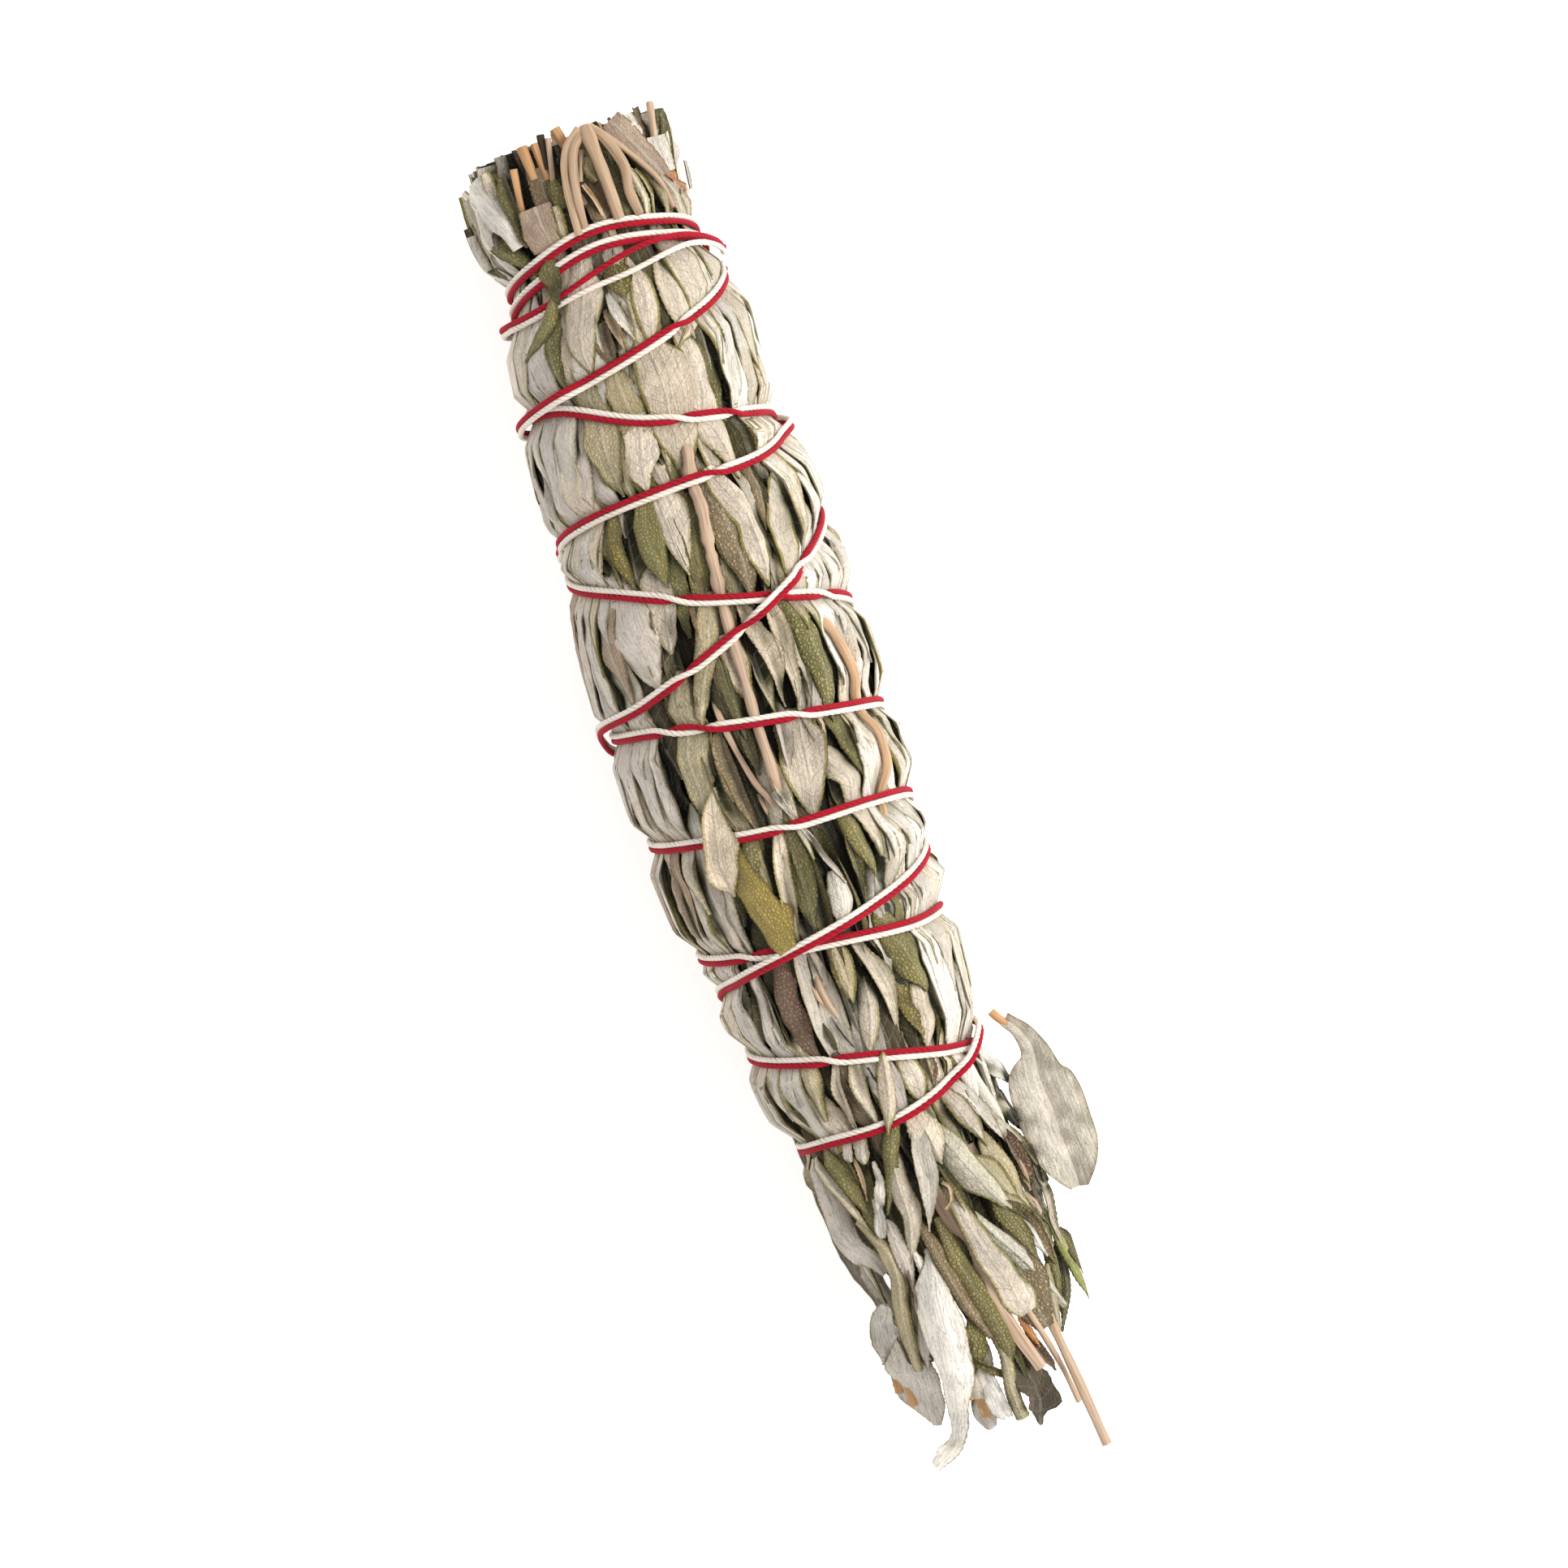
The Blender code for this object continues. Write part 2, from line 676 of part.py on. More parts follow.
# Distance from the cut end, and the reach from side to side, of the dent under the forked stalk.
FORK_HOLLOW = ((-2, 4.5, 9.5), (4, 2.2, 10.6), (11, -0.4, 14.8), (17.9, -1.4, 16.6))
FORK_HOLLOW_DEPTH = 1.5
FORK_HOLLOW_HEIGHT = 9.0
# Bare stalks at the leafy end, as (distance along, sideways, height over the centre line).
TIP_STALKS = (
    ((176.5, 7.8, 10.2), (190, 9.3, 10.6), (206, 10.4, 9.4), (218, 11.4, 8.4), (229.7, 12.2, 7.4)),
    ((177, -0.4, 14.6), (187, 1.7, 16.9), (200, 4.1, 16.0), (213, 6.5, 14.0)),
)
TIP_STALK_RADII = (1.0, 0.8)
TIP_STALK_CLEARANCE = 0.4
GROUND_BLOCK = (300.0, 120.0, 20.0)
GROUND_BLOCK_MIDDLE = 110.0


def surface_points(places, height):
    """Points on top of the bundle, from (distance along, sideways), or with a height of their own."""
    found = []
    for x, y, *more in places:
        raised = float(radius_at(x)[0]) + (more[0] if more else height)
        aside = y - float(centre_at(x)[0])
        found.append((x, y, CENTRE_HEIGHT + math.sqrt(raised**2 - aside**2)))
    return found


def standout_pieces(sprig, collection):
    for name, (owner, line, width, turn) in STANDOUT_LEAVES.items():
        if owner == sprig:
            free_leaf(sprig, name, line, width, STANDOUT_THICKNESS, collection, turn, lengthwise=8)
    for name, (owner, line, radius, end_share) in SURFACE_STEMS.items():
        if owner == sprig:
            rod(name, surface_points(line, SURFACE_STEM_HEIGHT), radius, collection, 8, end_share)


def longer(line, spare):
    """The line with both its ends moved outward by that much."""
    points = [Vector(point) for point in line]
    points[0] += (points[0] - points[1]).normalized() * spare
    points[-1] += (points[-1] - points[-2]).normalized() * spare
    return points


def fork_rods(collection):
    return [
        rod(name, surface_points(line, 0), FORK_RADIUS, collection, 6, FORK_END_SHARE)
        for name, line in FORK.items()
    ]


def fork_hollow(collection):
    """The shallow dent that the forked stalk lies in, from its lowest branch to its highest."""
    rings = []
    for x, low, high in FORK_HOLLOW:
        floor = float(radius_at(x)[0]) - FORK_HOLLOW_DEPTH
        middle = float(centre_at(x)[0])
        angles = [math.asin((y - middle) / floor) for y in (low, (low + high) / 2, high)]
        ring = [around(x, angle, floor) for angle in angles]
        ring += [around(x, angle, floor + FORK_HOLLOW_HEIGHT) for angle in (angles[2], angles[0])]
        rings.append(ring)
    return loft("fork_hollow", rings, collection)


def stalk_line(sprig, start, end=STALK_INNER_END):
    """The course of a sprig's stalk inside it, from its cut end."""
    line = []
    for x in (start, *STALK_INNER_STATIONS, end):
        radius = (float(radius_at(x)[0]) - CORE_DEPTH) * STALK_DEPTH_SHARE
        angle = (seam(sprig, x) + seam(sprig + 1, x)) / 2
        line.append(around(x, angle, radius))
    return line


def tip_stalk_line(number):
    return [(x, y, CENTRE_HEIGHT + rise) for x, y, rise in TIP_STALKS[number]]


def tip_stalk_room(collection):
    """Rods that cut the room for the bare stalks at the leafy end."""
    made = []
    for i, radius in enumerate(TIP_STALK_RADII):
        line = longer(tip_stalk_line(i), CLEARANCE)
        made.append(rod(f"room_for_tip_stalk_{i}", line, radius + TIP_STALK_CLEARANCE, collection, 6))
    return made


def floor_cutter(collection):
    """A block below the ground plane, which leaves the bundle's underside a narrow flat to lie on."""
    length, width, height = GROUND_BLOCK
    near, far = GROUND_BLOCK_MIDDLE - length / 2, GROUND_BLOCK_MIDDLE + length / 2
    section = ((-width / 2, -height), (width / 2, -height), (width / 2, 0), (-width / 2, 0))
    return loft("ground_block", [[(x, y, z) for y, z in section] for x in (near, far)], collection)


def groove_cutters(centre, angles, collection):
    """V-shaped bars along the twine, one for each stretch of it that doesn't cross itself."""
    sideways, outward = twine_frames(centre, angles)
    slope = GROOVE_SLOPE * (GROOVE_DEPTH + GROOVE_HEIGHT) * sideways
    top = centre + GROOVE_HEIGHT * outward
    rings = np.stack([centre - GROOVE_DEPTH * outward, top + slope, top - slope], axis=1)
    first_turns_end = int(np.searchsorted(angles, math.radians(FIRST_TURNS_END)))
    turn_back = int(np.argmax(centre[:, 0]))
    stretches = ((0, first_turns_end + 1), (first_turns_end, turn_back + 1), (turn_back, len(centre)))
    return [
        loft(f"groove_{i}", [tuple(map(tuple, ring)) for ring in rings[start:stop]], collection)
        for i, (start, stop) in enumerate(stretches)
    ]


def build_sprig(sprig, collection, cutters, ground, draw):
    made = core(sprig, collection, draw)
    parts = fresh_collection(f"parts_of_sprig_{sprig + 1}")
    laid_leaves(sprig, parts, draw)
    butt_leaves(sprig, parts, draw)
    tip_leaves(sprig, parts, draw)
    standout_pieces(sprig, parts)
    combine(made, parts, "UNION")
    for part in list(parts.objects):
        bpy.data.objects.remove(part)
    bpy.data.collections.remove(parts)
    for cutter in cutters:
        combine(made, cutter, "DIFFERENCE")
    keep_largest(made)
    merge_slivers(made)
    if min(vertex.co.z for vertex in made.data.vertices) < 0:
        combine(made, ground, "DIFFERENCE")
    return made


def clear_scene():
    for thing in list(bpy.data.objects):
        bpy.data.objects.remove(thing)


def centre_on_origin(objects):
    """Moves everything so that the origin is at the middle of the underside of the whole object's box."""
    bpy.context.view_layer.update()
    graph = bpy.context.evaluated_depsgraph_get()
    points = []
    for thing in objects:
        solid = thing.evaluated_get(graph)
        points += [thing.matrix_world @ vertex.co for vertex in solid.to_mesh().vertices]
        solid.to_mesh_clear()
    low, high = np.min(points, axis=0), np.max(points, axis=0)
    shift = Vector((-(low[0] + high[0]) / 2, -(low[1] + high[1]) / 2, -low[2]))
    for thing in objects:
        thing.location += shift


def main():
    clear_scene()
    bundle = fresh_collection("sage_smudge_stick")
    cutters = fresh_collection("cutters")
    colours = {name: material(name) for name in COLOURS}
    angles, centre, red, white = twine_paths()

    grooves = groove_cutters(centre, angles, cutters)
    ground = floor_cutter(cutters)
    hollow = fork_hollow(cutters)
    tip_room = tip_stalk_room(cutters)

    draw = random.Random(SEED)
    made = []
    for sprig in range(SPRIGS):
        start = draw.uniform(*STALK_START)
        bore = stalk_line(sprig, BORE_START, STALK_INNER_END + CLEARANCE)
        room = rod("room_for_stalk", bore, STALK_RADIUS + CLEARANCE, cutters)
        cut = [*grooves, room, hollow, *tip_room]
        leafy = build_sprig(sprig, bundle, cut, ground, draw)
        leafy.data.materials.clear()
        leafy.data.materials.append(colours["leaf"])
        bpy.data.objects.remove(room)
        line = stalk_line(sprig, start)
        stalk = tube(f"stalk_{sprig + 1}", line, STALK_RADIUS, bundle, 8, STALK_END_SHARE)
        stalk.data.materials.append(colours["stalk"])
        made += [leafy, stalk]

    for i, radius in enumerate(TIP_STALK_RADII):
        stalk = tube(f"tip_stalk_{i + 1}", tip_stalk_line(i), radius, bundle)
        stalk.data.materials.append(colours["stalk"])
        made.append(stalk)

    branches = fresh_collection("branches")
    fork_rods(branches)
    fork = branches.objects["trunk"]
    branches.objects.unlink(fork)
    bundle.objects.link(fork)
    fork.name = "forked_stalk"
    combine(fork, branches, "UNION")
    keep_largest(fork)
    fork.data.materials.append(colours["stalk"])
    for branch in list(branches.objects):
        bpy.data.objects.remove(branch)
    bpy.data.collections.remove(branches)
    made.append(fork)

    for name, line in (("red", red), ("white", white)):
        strand = tube(f"twine_{name}", [tuple(p) for p in line], STRAND_RADIUS, bundle, 6)
        strand.data.materials.append(colours[name])
        made.append(strand)

    for cutter in list(cutters.objects):
        bpy.data.objects.remove(cutter)
    centre_on_origin(made)


main()
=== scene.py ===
"""Looks of the sage smudge stick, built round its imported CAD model.

Places are worked out in millimetres in the bundle's own measures: the distance from its cut end, the angle
round it from the top towards +Y, and the radius from its centre line. placed() turns them to metres in the
row's frame.
"""

import math

import bpy
import numpy as np
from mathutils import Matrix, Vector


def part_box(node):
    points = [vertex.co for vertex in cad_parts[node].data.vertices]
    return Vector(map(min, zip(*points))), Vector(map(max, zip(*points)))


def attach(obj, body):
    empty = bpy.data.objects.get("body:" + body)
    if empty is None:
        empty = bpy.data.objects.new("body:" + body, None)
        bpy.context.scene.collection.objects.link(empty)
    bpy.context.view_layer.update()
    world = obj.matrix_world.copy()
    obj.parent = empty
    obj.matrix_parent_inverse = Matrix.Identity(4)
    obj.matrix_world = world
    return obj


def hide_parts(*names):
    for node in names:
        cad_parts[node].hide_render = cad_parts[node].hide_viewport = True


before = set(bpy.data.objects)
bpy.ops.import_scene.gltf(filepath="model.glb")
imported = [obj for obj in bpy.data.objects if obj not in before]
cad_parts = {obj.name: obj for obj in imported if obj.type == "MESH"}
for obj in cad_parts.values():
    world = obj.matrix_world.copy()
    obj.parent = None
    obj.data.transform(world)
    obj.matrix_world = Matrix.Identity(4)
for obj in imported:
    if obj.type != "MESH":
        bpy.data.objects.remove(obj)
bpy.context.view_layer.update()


# Where the twine will press
# The red and the white cotton strand are wound round the bundle side by side, first in close turns near the
# cut end, then in wide turns up to the leaf tips and back again. Their course comes first, because every
# leaf is pressed by it.

MM = 0.001
BUNDLE_ORIGIN = (115.33, 1.957, 0.0)
CENTRE_HEIGHT = 20.9
# Distance from the cut end, half of the bundle's width, and how far its middle lies to +Y.
OUTLINE = (
    (0, 17.0, 1.8),
    (12, 17.6, 1.6),
    (23, 16.8, 1.9),
    (32, 18.9, 1.8),
    (50, 19.6, 0.0),
    (70, 21.8, -0.1),
    (90, 22.3, -1.2),
    (110, 22.0, -2.1),
    (128, 21.3, -2.2),
    (145, 19.2, -2.1),
    (160, 17.8, -2.3),
    (169, 16.6, -1.7),
    (180, 17.4, -0.9),
    (200, 17.0, 0.0),
    (230, 13.0, 0.0),
)
# One row for each turn of the twine: its distance from the cut end at these angles round the bundle.
TWINE_ANGLES = (-90, -45, 0, 45, 90, 180)
TWINE_TURNS = (
    (22.4, 20.2, 18.0, 19.8, 22.0, 25.4),
    (25.6, 23.0, 20.8, 22.6, 25.0, 33.0),
    (41.8, 43.3, 49.9, 53.2, 54.7, 61.0),
    (69.0, 73.6, 80.3, 84.7, 87.6, 91.0),
    (95.2, 96.9, 100.7, 103.6, 105.0, 109.0),
    (113.6, 115.8, 118.4, 119.2, 120.4, 129.0),
    (133.4, 135.6, 138.0, 139.9, 139.3, 145.0),
    (151.0, 154.0, 157.4, 160.9, 162.0, 166.0),
    (168.2, 168.3, 168.5, 165.0, 157.0, 152.0),
    (140.2, 138.7, 136.6, 133.3, 128.8, 119.0),
    (94.2, 92.3, 87.6, 79.9, 72.6, 70.0),
    (63.3, 61.6, 61.2, 61.1, 57.5, 50.0),
    (43.6, 41.6, 39.3, 35.3, 30.2, 28.6),
    (27.6, 27.3, 25.4, 24.2, 26.6, 28.4),
)
TWINE_START = 22.2
TWINE_START_ANGLE = -160
TWINE_END_ANGLE = 100
TWINE_SIDE_BY_SIDE = 2
# Where the two strands change places: the turn and the angle. The white one starts nearer the cut end.
TWINE_SWAPS = (
    ((2, 15), (2, 43), (3, -14), (3, 29), (3, 54), (3, 150), (4, -36), (4, -18))
    + ((4, 22), (4, 150), (5, 1), (6, -120), (6, -38), (6, 150), (7, -18), (7, 150))
    + ((10, -20), (10, 11), (10, 48), (11, 20), (11, 150), (12, 27), (13, -120))
)
SWAP_ARC = 14.0
STRAND_RADIUS = 0.47
STRAND_OFFSET = 0.48
PARTING = 2.1
PARTING_ANGLE = 17
PARTING_REACH = 30
TWINE_BITE = 0.5
TWINE_LIFT = 1.95
LIFT_NEAR = 2.0
LIFT_FAR = 5.0
GROUND_GAP = 0.05
PLY_SWELL = 0.1
ROUTE_STEP = 0.8


def placed(points):
    """Points in the bundle's millimetres, as metres in the row's frame."""
    return (np.asarray(points, float) - BUNDLE_ORIGIN) * MM


def through(points, at):
    """Values at some positions on a smooth curve through rows of (position, value, ...).

    Between two rows it is a cubic whose slopes are those of the rows' neighbours.
    """
    table = np.array(points, float)
    where, values = table[:, 0], table[:, 1:]
    slopes = np.gradient(values, where, axis=0)
    at = np.clip(np.atleast_1d(np.asarray(at, float)), where[0], where[-1])
    i = np.clip(np.searchsorted(where, at) - 1, 0, len(where) - 2)
    span = (where[i + 1] - where[i])[:, None]
    t = (at - where[i])[:, None] / span
    return (
        values[i] * (2 * t**3 - 3 * t**2 + 1)
        + slopes[i] * span * (t**3 - 2 * t**2 + t)
        + values[i + 1] * (3 * t**2 - 2 * t**3)
        + slopes[i + 1] * span * (t**3 - t**2)
    )


# The outline is read so often that it is worked out once, every half millimetre.
OUTLINE_AT = np.arange(-5, 235, 0.5)
OUTLINE_ROWS = through(OUTLINE, OUTLINE_AT)


def radius_at(x):
    """Half of the bundle's width at a distance from the cut end."""
    return np.interp(x, OUTLINE_AT, OUTLINE_ROWS[:, 0])


def centre_at(x):
    """How far the bundle's middle lies to +Y there."""
    return np.interp(x, OUTLINE_AT, OUTLINE_ROWS[:, 1])


def around(x, angle, radius):
    """Points at a distance along the bundle, an angle round it and a radius.

    point = (x, middle + r sin angle, height of the middle + r cos angle)
    """
    x, angle, radius = np.broadcast_arrays(x, angle, radius)
    aside, above = radius * np.sin(angle), radius * np.cos(angle)
    return np.stack([x, centre_at(x) + aside, CENTRE_HEIGHT + above], axis=-1)


def measured(points):
    """The way back from around(): each point's distance along the bundle, angle round it and radius."""
    aside, above = points[..., 1] - centre_at(points[..., 0]), points[..., 2] - CENTRE_HEIGHT
    return points[..., 0], np.arctan2(aside, above), np.hypot(aside, above)


def unit(vectors):
    """Each vector divided by its length."""
    return vectors / np.linalg.norm(vectors, axis=-1, keepdims=True)


def square_to(along, vectors):
    """Unit vectors along the parts of the vectors that are square to the unit directions along."""
    return unit(vectors - along * (along * vectors).sum(axis=1)[:, None])


def crossing_lift(places, angles):
    """How far each point of the twine rises to pass over the earlier turns that it comes near."""
    lift = np.zeros(len(places))
    first = np.searchsorted(angles, math.radians(360 * TWINE_SIDE_BY_SIDE - 180))
    for i in range(first, len(places)):
        before = np.searchsorted(angles, angles[i] - math.pi)
        apart = np.linalg.norm(places[:before] - places[i], axis=1)
        share = np.clip((LIFT_FAR - apart) / (LIFT_FAR - LIFT_NEAR), 0, 1)
        lift[i] = ((lift[:before] + TWINE_LIFT) * share * share * (3 - 2 * share)).max()
    return lift


def twine_frames(centre, angles):
    """Unit directions at each point of the twine: sideways towards the cut end, and straight out."""
    along = unit(np.gradient(centre, axis=0))
    outward = square_to(along, np.column_stack([0 * angles, np.sin(angles), np.cos(angles)]))
    sideways = np.cross(outward, along)
    return sideways * np.sign(-sideways[:, :1]), outward


def twine_course():
    """The red and the white strand's centre lines, on the two sides of the pair's course over the surface.

    The pair turns by half a turn, evenly over a short arc, wherever the strands change places.
    """
    rows = [
        (360 * turn + angle, x)
        for turn, turn_row in enumerate(TWINE_TURNS)
        for angle, x in zip(TWINE_ANGLES, turn_row)
    ]
    rows.insert(0, (-180, TWINE_START))
    last_turn = 360 * (len(TWINE_TURNS) - 1)
    degrees = np.arange(TWINE_START_ANGLE, last_turn + TWINE_END_ANGLE + ROUTE_STEP, ROUTE_STEP)
    x = through(rows, degrees)[:, 0]
    swaps = np.array([360 * turn + angle for turn, angle in TWINE_SWAPS])
    share = np.clip((degrees[:, None] - swaps) / SWAP_ARC + 0.5, 0, 1)
    roll = math.pi * (1 + share.sum(axis=1))
    angles = np.radians(degrees)
    lift = crossing_lift(around(x, angles, radius_at(x) - TWINE_BITE), angles)
    centre = around(x, angles, radius_at(x) - TWINE_BITE + lift)
    centre[:, 2] = np.maximum(centre[:, 2], STRAND_RADIUS + GROUND_GAP + PLY_SWELL)
    sideways, outward = twine_frames(centre, angles)
    offset = np.cos(roll)[:, None] * sideways + np.sin(roll)[:, None] * outward
    # The two part on top of the last turn.
    apart = 1 + PARTING * np.exp(-(((degrees - last_turn - PARTING_ANGLE) / PARTING_REACH) ** 2))
    offset *= STRAND_OFFSET * apart[:, None]
    return centre + offset, centre - offset, angles


red_course, white_course, course_angles = twine_course()


# The imported inside of the sprigs
# Under the leaves that show, each sprig is a wedge of stems and broken leaves pressed together, painted
# near black as shade because no light gets in. It shows only as the dark bottom of the gaps between leaves.

SPRIGS = 8
WEDGE = 2 * math.pi / SPRIGS
SEAM_WAVE = math.radians(4)
SEAM_PITCH = 30.0
SEAM_PHASE = 2.1
CORE_DEPTH = 3.3
CORE_START = 6.0
# Distance from the cut end, and the share of the radius that is still packed there.
CORE_THINNING = ((-5, 1), (165, 1), (178, 0.8), (188, 0.45), (200, 0.15), (235, 0.1))
CORE_STATIONS = np.concatenate([np.arange(CORE_START, 170, 4.0), np.arange(170, 203, 3.0)])
CORE_RAYS = 9
CORE_AXIS_RADIUS = 0.3
RIPPLE_HEIGHT = 0.5
RIPPLES_ROUND = 27
RIPPLE_DRIFT = 11
UNROLLED_RADIUS = 20
# Its end faces take light and are brown; what lies between them doesn't, and is painted near black as shade.
END_FACES = (CORE_START + 1, 198)
END_BROWN = "#5F543C"
CORE_SHADE_BLACK = "#12100B"
# How pebbled, how plainly veined and how browned the broken leaves in it are.
CORE_KIND = (0.7, 0.2, 0.6)


def linear(colour):
    """An sRGB hex colour as linear red, green and blue."""
    value = np.array([int(colour[i : i + 2], 16) / 255 for i in (1, 3, 5)])
    return np.where(value <= 0.04045, value / 12.92, ((value + 0.055) / 1.055) ** 2.4)


def seam(number, x):
    """The angle of the seam before a sprig, which wanders a little along the bundle."""
    return (number - 0.5) * WEDGE + SEAM_WAVE * np.sin(x / SEAM_PITCH + SEAM_PHASE * (number % SPRIGS))


def core_radius(x):
    """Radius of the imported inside: a little under the surface, and thinning where the leaves come free."""
    return (radius_at(x) - CORE_DEPTH) * np.clip(through(CORE_THINNING, x)[:, 0], 0.1, 1)


def add_node(tree, kind, inputs, output=0, **settings):
    """One output of a new node of that kind, with its settings, and each input set to a value or linked.

    The inputs are in their order in a row, or by their names in a dictionary.
    """
    made = tree.nodes.new("ShaderNode" + kind)
    for name, value in settings.items():
        setattr(made, name, value)
    for key, value in inputs.items() if isinstance(inputs, dict) else enumerate(inputs):
        if isinstance(value, bpy.types.NodeSocket):
            tree.links.new(value, made.inputs[key])
        else:
            made.inputs[key].default_value = value
    return made.outputs[output]


def fresh_material(name, sockets):
    """A material with nothing but its shader, whose even values are set on the shader's own sockets."""
    made = bpy.data.materials.new(name)
    made.use_nodes = True
    shader = made.node_tree.nodes["Principled BSDF"]
    for key, value in sockets.items():
        shader.inputs[key].default_value = value
    return made, made.node_tree, shader


def make_piece(name, parts, material, smooth_angle):
    """One mesh object from parts, each with points in millimetres, blocks of faces and point attributes."""
    starts = np.cumsum([0] + [len(part["points"]) for part in parts])
    faces = []
    for part, start in zip(parts, starts):
        for block in part["faces"]:
            faces += (block + start).tolist()
    mesh = bpy.data.meshes.new(name)
    mesh.from_pydata(placed(np.concatenate([part["points"] for part in parts])).tolist(), [], faces)
    mesh.materials.append(material)
    for key in ("tint", "blade", "kind", "rim"):
        values = [np.broadcast_to(part.get(key, (0, 0, 0)), part["points"].shape) for part in parts]
        stored = mesh.attributes.new(key, "FLOAT_VECTOR", "POINT")
        stored.data.foreach_set("vector", np.concatenate(values).astype(np.float32).ravel())
    mesh.polygons.foreach_set("use_smooth", np.ones(len(mesh.polygons), bool))
    mesh.set_sharp_from_angle(angle=smooth_angle)
    mesh.update()
    made = bpy.data.objects.new(name, mesh)
    bpy.context.scene.collection.objects.link(made)
    return made


def grid_faces(rows, columns):
    """Faces of a grid of points, row by row."""
    index = np.arange(rows * columns).reshape(rows, columns)
    return np.stack([index[:-1, :-1], index[1:, :-1], index[1:, 1:], index[:-1, 1:]], axis=-1).reshape(-1, 4)


def tube_faces(rows, sides):
    """The numbers of a tube's points by rings, each one's next in its ring, and the faces between rings."""
    index = np.arange(rows * sides).reshape(rows, sides)
    after = np.roll(index, -1, axis=1)
    return index, after, np.stack([index[:-1], index[1:], after[1:], after[:-1]], axis=-1).reshape(-1, 4)


def core_wedge(sprig):
    """A sprig's packed inside: rings of points on an arc and one by the axis, joined and capped.

    The arc's radius is the core's radius with a ripple that turns slowly along the bundle, like packed stems.
    """
    x = CORE_STATIONS
    low, high = seam(sprig, x), seam(sprig + 1, x)
    across = np.linspace(0, 1, CORE_RAYS)
    angle = low[:, None] + (high - low)[:, None] * across
    ripple = RIPPLE_HEIGHT * np.sin(RIPPLES_ROUND * angle + x[:, None] / RIPPLE_DRIFT + sprig)
    ripple = ripple * np.sin(np.pi * across)
    radius = core_radius(x)[:, None] + ripple * np.minimum(core_radius(x) / 10, 1)[:, None]
    arc = around(x[:, None] + 0 * angle, angle, radius)
    axis = around(x, (low + high) / 2, CORE_AXIS_RADIUS)[:, None]
    spots = np.concatenate([arc, axis], axis=1).reshape(-1, 3)
    index, after, sides = tube_faces(len(x), CORE_RAYS + 1)
    start = np.stack([after[0], 0 * index[0] + index[0, -1], index[0]], axis=-1)[:-2]
    end = np.stack([index[-1], 0 * index[0] + index[-1, -1], after[-1]], axis=-1)[:-2]
    at_end = (spots[:, :1] < END_FACES[0]) | (spots[:, :1] > END_FACES[1])
    unrolled = np.arctan2(spots[:, 1], spots[:, 2] - UNROLLED_RADIUS)
    return {
        "points": spots,
        "faces": [sides, start[:, ::-1], end[:, ::-1]],
        # Painted shade: near black but for the two end faces.
        "tint": np.where(at_end, linear(END_BROWN), linear(CORE_SHADE_BLACK)),
        "blade": np.column_stack([spots[:, 0], UNROLLED_RADIUS * unrolled, 0 * spots[:, 0]]),
        "kind": np.array(CORE_KIND),
    }


sprig_parts = [[core_wedge(sprig)] for sprig in range(SPRIGS)]


# Leaves
# Dried white sage leaves, long and blunt, felted pale grey-green. They are folded, rolled and pressed over
# each other like shingles, and the twine pinches them. Each is a thin closed shell laid on those that were
# laid before.

MAP_START = -4.0
MAP_CELL = 0.5
MAP_COLUMNS = 480
MAP_ROWS = 288
LEAF_THICKNESS = 0.24
LAYER_PRESS = 1.0
BULGE = 1.5
TOOTH_PITCH = 0.95
TOOTH_DEPTH = 0.2
RAISED_RIB, SUNK_RIB = 0.12, -0.15
MOST_PLEATING = 0.06
# How far a leaf sinks at its stalk end, and within what distance.
TUCK, TUCK_REACH = 0.7, 3.0
# Within what distance a stiff leaf bridges a gap, and its stiffness from 0, which follows all bumps, to 1.
BRIDGE_REACH, STIFFNESS = 1.6, 0.7
LEAF_GAP = 0.05
PAST_CEILING = 0.12
# The angle between leaves that keeps them apart as a plant does, as a share of a turn.
GOLDEN = 0.618034
# Colours of the leaves that show, from pale undersides to old and bruised ones.
TINTS = {
    "greige": "#DFD1BE",
    "silver": "#DDD6CB",
    "frost": "#D8D2C0",
    "mottled": "#E3DCD0",
    "cream": "#EAE5DD",
    "lilac": "#CFC6BD",
    "sage": "#C3B592",
    "olive": "#A1975E",
    "moss": "#7B7246",
    "yellow": "#AE9B50",
    "mustard": "#B7A35B",
    "lime": "#A2A660",
    "bronze": "#B39B79",
    "umber": "#8B735A",
    "taupe": "#B39C89",
    "pink": "#A07D6A",
    "straw": "#DDBE98",
    "rust": "#BE7F48",
    "bark": "#61564A",
}
# For each colour: how pebbled the blade is, how plain its veins are, how much it has browned, and how green
# the rim is where the upper side curls over.
KINDS = {
    "greige": (0.24, 0.9, 0.22, 0.95),
    "silver": (0.1, 0.5, 0.04, 0.3),
    "frost": (0.3, 0.9, 0.12, 0.95),
    "mottled": (0.15, 0.4, 0.5, 0.3),
    "cream": (0.0, 0.2, 0.0, 0.05),
    "lilac": (0.08, 0.4, 0.08, 0.2),
    "sage": (0.4, 0.7, 0.3, 0.9),
    "olive": (0.85, 0.3, 0.3, 0.5),
    "moss": (1.0, 0.3, 0.4, 0.3),
    "yellow": (1.0, 0.3, 0.2, 0.3),
    "mustard": (0.55, 0.12, 0.25, 0.2),
    "lime": (0.2, 0.4, 0.1, 0.2),
    "bronze": (0.85, 0.5, 0.5, 0.5),
    "umber": (0.6, 0.4, 0.7, 0.2),
    "taupe": (0.3, 0.6, 0.3, 0.2),
    "pink": (1.0, 0.2, 0.3, 0.0),
    "straw": (0.15, 0.5, 0.3, 0.1),
    "rust": (0.3, 0.3, 0.6, 0.0),
    "bark": (0.5, 0.3, 0.5, 0.0),
}
UNDERSIDES = ("greige", "silver", "frost", "mottled", "cream", "lilac", "sage", "straw", "taupe")
